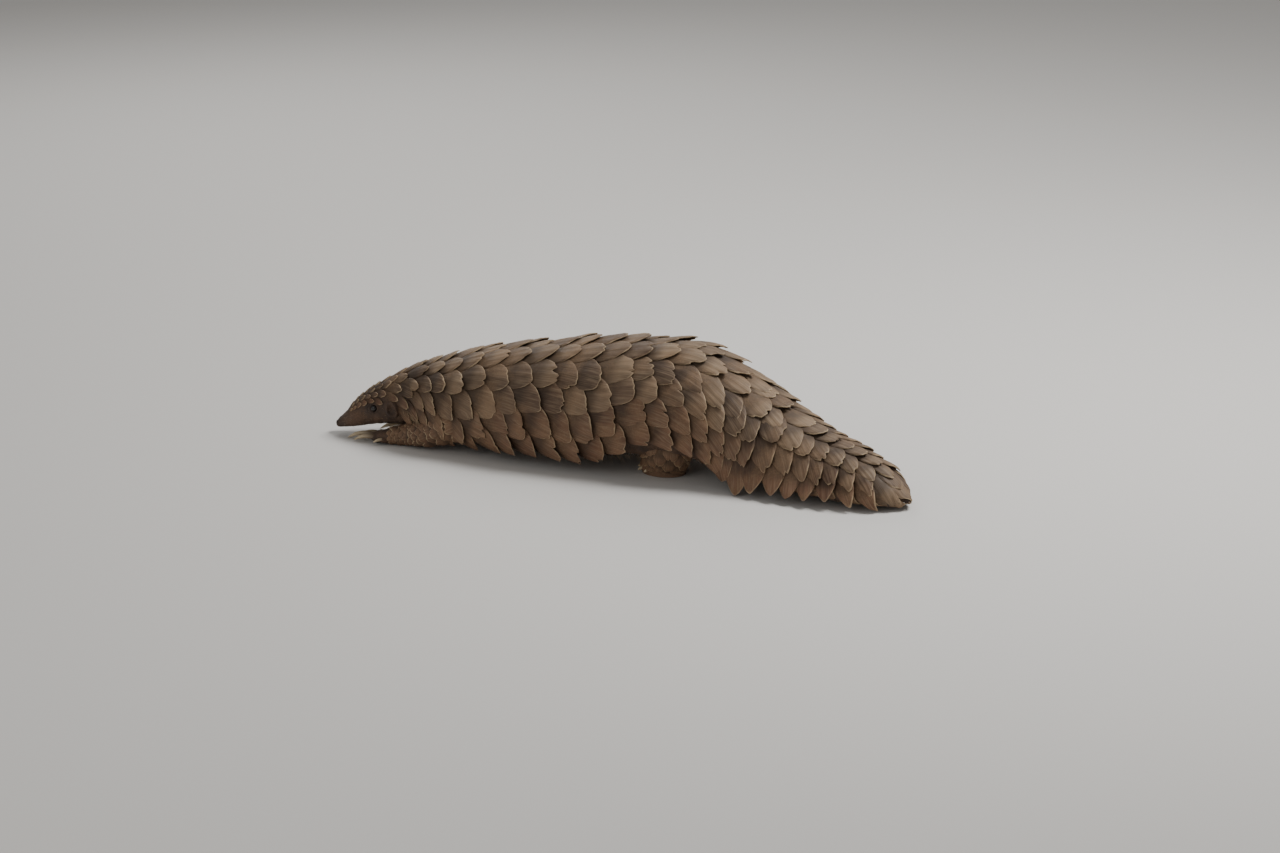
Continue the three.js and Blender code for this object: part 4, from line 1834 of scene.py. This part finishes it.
@dataclass
class Claws:
    """The claws of the four feet, each a tapered horn that bends down to a blunt point.

    Attributes:
        arch: Parts of a claw's length, how far it rises there, also as a part, and its share of the width.
    """

    arch: tuple[tuple[float, float, float], ...] = (
        (0, 0, 1),
        (0.4, 0.05, 0.92),
        (0.7, 0, 0.68),
        (0.9, -0.09, 0.38),
        (1, -0.15, 0.12),
    )
    flat: float = 0.85
    ridge: float = 0.12

    def loft(self, leg: Leg, digit: Digit) -> Loft:
        """The loft of one claw.

        Args:
            leg: The leg that carries it.
            digit: Its digit.

        Returns:
            The loft.
        """
        at, way = leg.digit_place(digit)
        whole = digit.bare + leg.claw_back
        rows = []
        for part, rise, width in self.arch:
            place = at + way * (part * whole - leg.claw_back)
            half = digit.thick * width
            values = {"side": half, "up": half * self.flat, "down": half * self.flat, "belly": 2}
            rows.append({"x": place[0], "y": place[1], "z": place[2] + rise * whole, **values})
        return Loft(rows)

    def make(self, finish: ClawFinish) -> None:
        """Builds every claw.

        Args:
            finish: The finish of a claw.
        """
        material = finish.make()
        for leg in LEGS:
            for digit in leg.digits.value:
                node = f"claw_{leg.name.replace('leg', '')}_{digit.name}"
                loft = self.loft(leg, digit)
                claw, part, turn = lathe_ball(node + "_horn", 20, 28)
                side = loft.at("side", part * loft.length)
                ridge = self.ridge * side * hill(np.abs(np.degrees(turn)), 0, 30)
                inward = (side + ridge) * (1 - round_ends(part, 0.06)) * 0.97
                points = loft.surface(part * loft.length, turn, ridge - inward)
                set_points(claw, to_frame(above_floor(points)))
                paint(claw, "along", part)
                face_out(claw)
                shade_soft(claw, 80)
                finish_piece(claw, material, Slot.CLAW, [node])


class BristlePatch(NamedTuple):
    """Where a group of bristles grows on each side of the animal.

    Attributes:
        count: How many there are.
        along: The distances from the nose that they lie between.
        turns: The turns that they lie between, in degrees.
        from_cap: Whether the turns are counted from the edge of the cap of scales, and not from the top.
        long: The lengths that they lie between.
        out: How steeply they stand, from 0 to 1.
    """

    count: int
    along: tuple[float, float]
    turns: tuple[float, float]
    from_cap: bool
    long: tuple[float, float]
    out: float


@dataclass
class Bristles:
    """Thin stiff hairs along the edge of the cap, on the cheek and throat, and between the lowest scales."""

    sides: int = 3
    parts: tuple[float, ...] = (0.0, 0.35, 0.7)
    short: float = 8
    thin: float = 0.16
    thick: float = 0.24
    patches: tuple[BristlePatch, ...] = (
        BristlePatch(130, (122, 196), (2, 22), True, (12, 30), 0.5),
        BristlePatch(120, (12, 120), (50, 165), False, (3, 7), 0.4),
        BristlePatch(200, (190, 600), (130, 170), False, (8, 20), 0.45),
    )

    def strand(self, at: np.ndarray, way: np.ndarray, bend: np.ndarray, long: float) -> np.ndarray:
        """The corners of one bristle.

        Args:
            at: Its root.
            way: The way it leaves the skin.
            bend: The way its tip bends.
            long: Its length.

        Returns:
            Its corners, ring by ring, and then its tip.
        """
        thick = self.thin if long < self.short else self.thick
        aside = np.cross(way, UP + 0.01)
        aside /= np.linalg.norm(aside)
        other = np.cross(aside, way)
        rings = []
        for part in self.parts:
            middle = at + way * long * part + bend * long * part * part
            for k in range(self.sides):
                angle = 2 * math.pi * k / self.sides
                around = math.cos(angle) * aside + math.sin(angle) * other
                rings.append(middle + thick * (1 - 0.8 * part) * around)
        rings.append(at + (way + bend) * long)
        return above_floor(np.array(rings), 0.5)

    def faces(self) -> list[tuple[int, ...]]:
        """The faces of one bristle.

        Returns:
            The numbers of each face's corners.
        """
        n = self.sides
        last = (len(self.parts) - 1) * n
        pairs = [(k, (k + 1) % n) for k in range(n)]
        walls = [(r + a, r + b, r + n + b, r + n + a) for r in range(0, last, n) for a, b in pairs]
        tips = [(last + a, last + b, last + n) for a, b in pairs]
        return walls + tips + [tuple(range(n - 1, -1, -1))]

    def places(self, draw: np.random.Generator) -> Iterator[tuple[float, float, float, float]]:
        """Where bristles grow.

        Args:
            draw: The source of chance.

        Yields:
            The distance from the nose, the turn in radians, the length and how steeply it stands.
        """
        for side in Side:
            for patch in self.patches:
                for _ in range(patch.count):
                    distance = draw.uniform(*patch.along)
                    degrees = draw.uniform(*patch.turns)
                    if patch.from_cap:
                        degrees += float(BODY.at("cover", distance))
                    yield distance, side.value * math.radians(degrees), draw.uniform(*patch.long), patch.out

    def make(self, finish: BristleFinish) -> bpy.types.Object:
        """Builds the bristles as one piece.

        Args:
            finish: Their finish.

        Returns:
            The piece.
        """
        draw = np.random.default_rng(SEED + 1)
        strands = []
        homes = []
        for distance, turn, long, out in self.places(draw):
            at = BODY.surface(distance, turn, -1.0)
            over = BODY.surface(distance, turn, 4.0) - at
            back = BODY.surface(distance + 5, turn, -1.0) - at
            way = out * over / np.linalg.norm(over) + (1 - out) * back / np.linalg.norm(back)
            way += draw.normal(0, 0.12, 3)
            way /= np.linalg.norm(way)
            bend = np.array([0.12, 0.0, -0.35]) * draw.uniform(0.5, 1.3)
            strands.append(self.strand(at, way, bend, long))
            homes.append(home(turn, distance, BODY.length))
        count = len(strands[0])
        faces = [tuple(i * count + k for k in face) for i in range(len(strands)) for face in self.faces()]
        piece = new_piece("bristles", np.concatenate(strands), faces)
        along = np.append(np.repeat(self.parts, self.sides), 1.0)
        paint(piece, "along", np.tile(along, len(strands)))
        local = np.stack([np.zeros_like(along), along * 0.003], axis=1)
        unwrap(piece, "OFBake", np.repeat(homes, count, axis=0) + np.tile(local, (len(strands), 1)))
        face_out(piece)
        shade_soft(piece, 80)
        finish_piece(piece, finish.make(), Slot.HIDE, [])
        return piece


class Lamp(NamedTuple):
    """A square lamp, with its place in metres, its side and its power in watts."""

    name: str
    place: tuple[float, float, float]
    size: float
    power: float


@dataclass
class Studio:
    """The floor, the lights and the camera that looks as the photograph does."""

    azimuth: float = 19
    elevation: float = 17
    away: float = 5.8
    lens: float = 109.8
    aim: tuple[float, float, float] = (0.0108, 0.0352, 0.0446)
    lamps: tuple[Lamp, ...] = (
        Lamp("key", (1.3, 0.7, 2.4), 1.0, 84),
        Lamp("fill", (-1.2, -3.2, 1.6), 2.6, 20),
        Lamp("rim", (-1.6, 2.2, 1.8), 1.6, 24),
    )
    lamps_aim: tuple[float, float, float] = (0, 0, 0.08)
    sky: tuple[float, ...] = (0.9, 0.89, 0.88, 1)
    sky_strength: float = 0.34
    floor_tint: tuple[float, ...] = (0.62, 0.6, 0.57, 1)
    floor_rough: float = 0.9

    def floor(self) -> None:
        """A plain pale floor."""
        deselect_all()
        bpy.ops.mesh.primitive_plane_add(size=30, location=(0, 0, 0))
        ground = take_name("floor")
        material = bpy.data.materials.new("pale floor")
        material.use_nodes = True
        shader = material.node_tree.nodes["Principled BSDF"]
        shader.inputs["Base Color"].default_value = self.floor_tint
        shader.inputs["Roughness"].default_value = self.floor_rough
        ground.data.materials.append(material)

    @staticmethod
    def hold(name: str, data: bpy.types.ID, place: Vector, aim: Vector) -> bpy.types.Object:
        """Puts a lamp or a camera at its place.

        Args:
            name: The object's name.
            data: The lamp or the camera.
            place: Its place.
            aim: The point that it is turned to.

        Returns:
            The object.
        """
        holder = bpy.data.objects.new(name, data)
        bpy.context.scene.collection.objects.link(holder)
        holder.location = place
        holder.rotation_euler = (aim - place).to_track_quat("-Z", "Y").to_euler()
        return holder

    def lights(self) -> None:
        """A key lamp above the tail, a fill beside the camera, one behind the head, and a pale sky."""
        for lamp in self.lamps:
            data = bpy.data.lights.new(lamp.name, "AREA")
            data.size = lamp.size
            data.energy = lamp.power
            self.hold(lamp.name, data, Vector(lamp.place), Vector(self.lamps_aim))
        world = bpy.data.worlds.new("soft sky")
        world.use_nodes = True
        world.node_tree.nodes["Background"].inputs["Color"].default_value = self.sky
        world.node_tree.nodes["Background"].inputs["Strength"].default_value = self.sky_strength
        bpy.context.scene.world = world

    def camera(self) -> None:
        """The camera at the photograph's viewing angle and framing."""
        data = bpy.data.cameras.new("camera")
        data.lens = self.lens
        data.sensor_width = 36
        data.clip_start = 0.05
        data.clip_end = 60
        around, above = math.radians(self.azimuth), math.radians(self.elevation)
        level = math.cos(above)
        back = Vector((math.sin(around) * level, -math.cos(around) * level, math.sin(above)))
        aim = Vector(self.aim)
        bpy.context.scene.camera = self.hold("camera", data, aim + back * self.away, aim)


def main() -> None:
    """Builds the animal around the frame and reports each piece."""
    logging.basicConfig(level=logging.INFO, format="%(name)s: %(message)s")
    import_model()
    studio = Studio()
    studio.camera()
    skin = Skin()
    skin.make(HideFinish())
    count = Coat().make(ScaleFinish())
    log.info("%d scales", count)
    Eyes(skin).make(EyeFinish())
    Claws().make(ClawFinish())
    Bristles().make(BristleFinish())
    studio.floor()
    studio.lights()


if __name__ == "__main__":
    main()
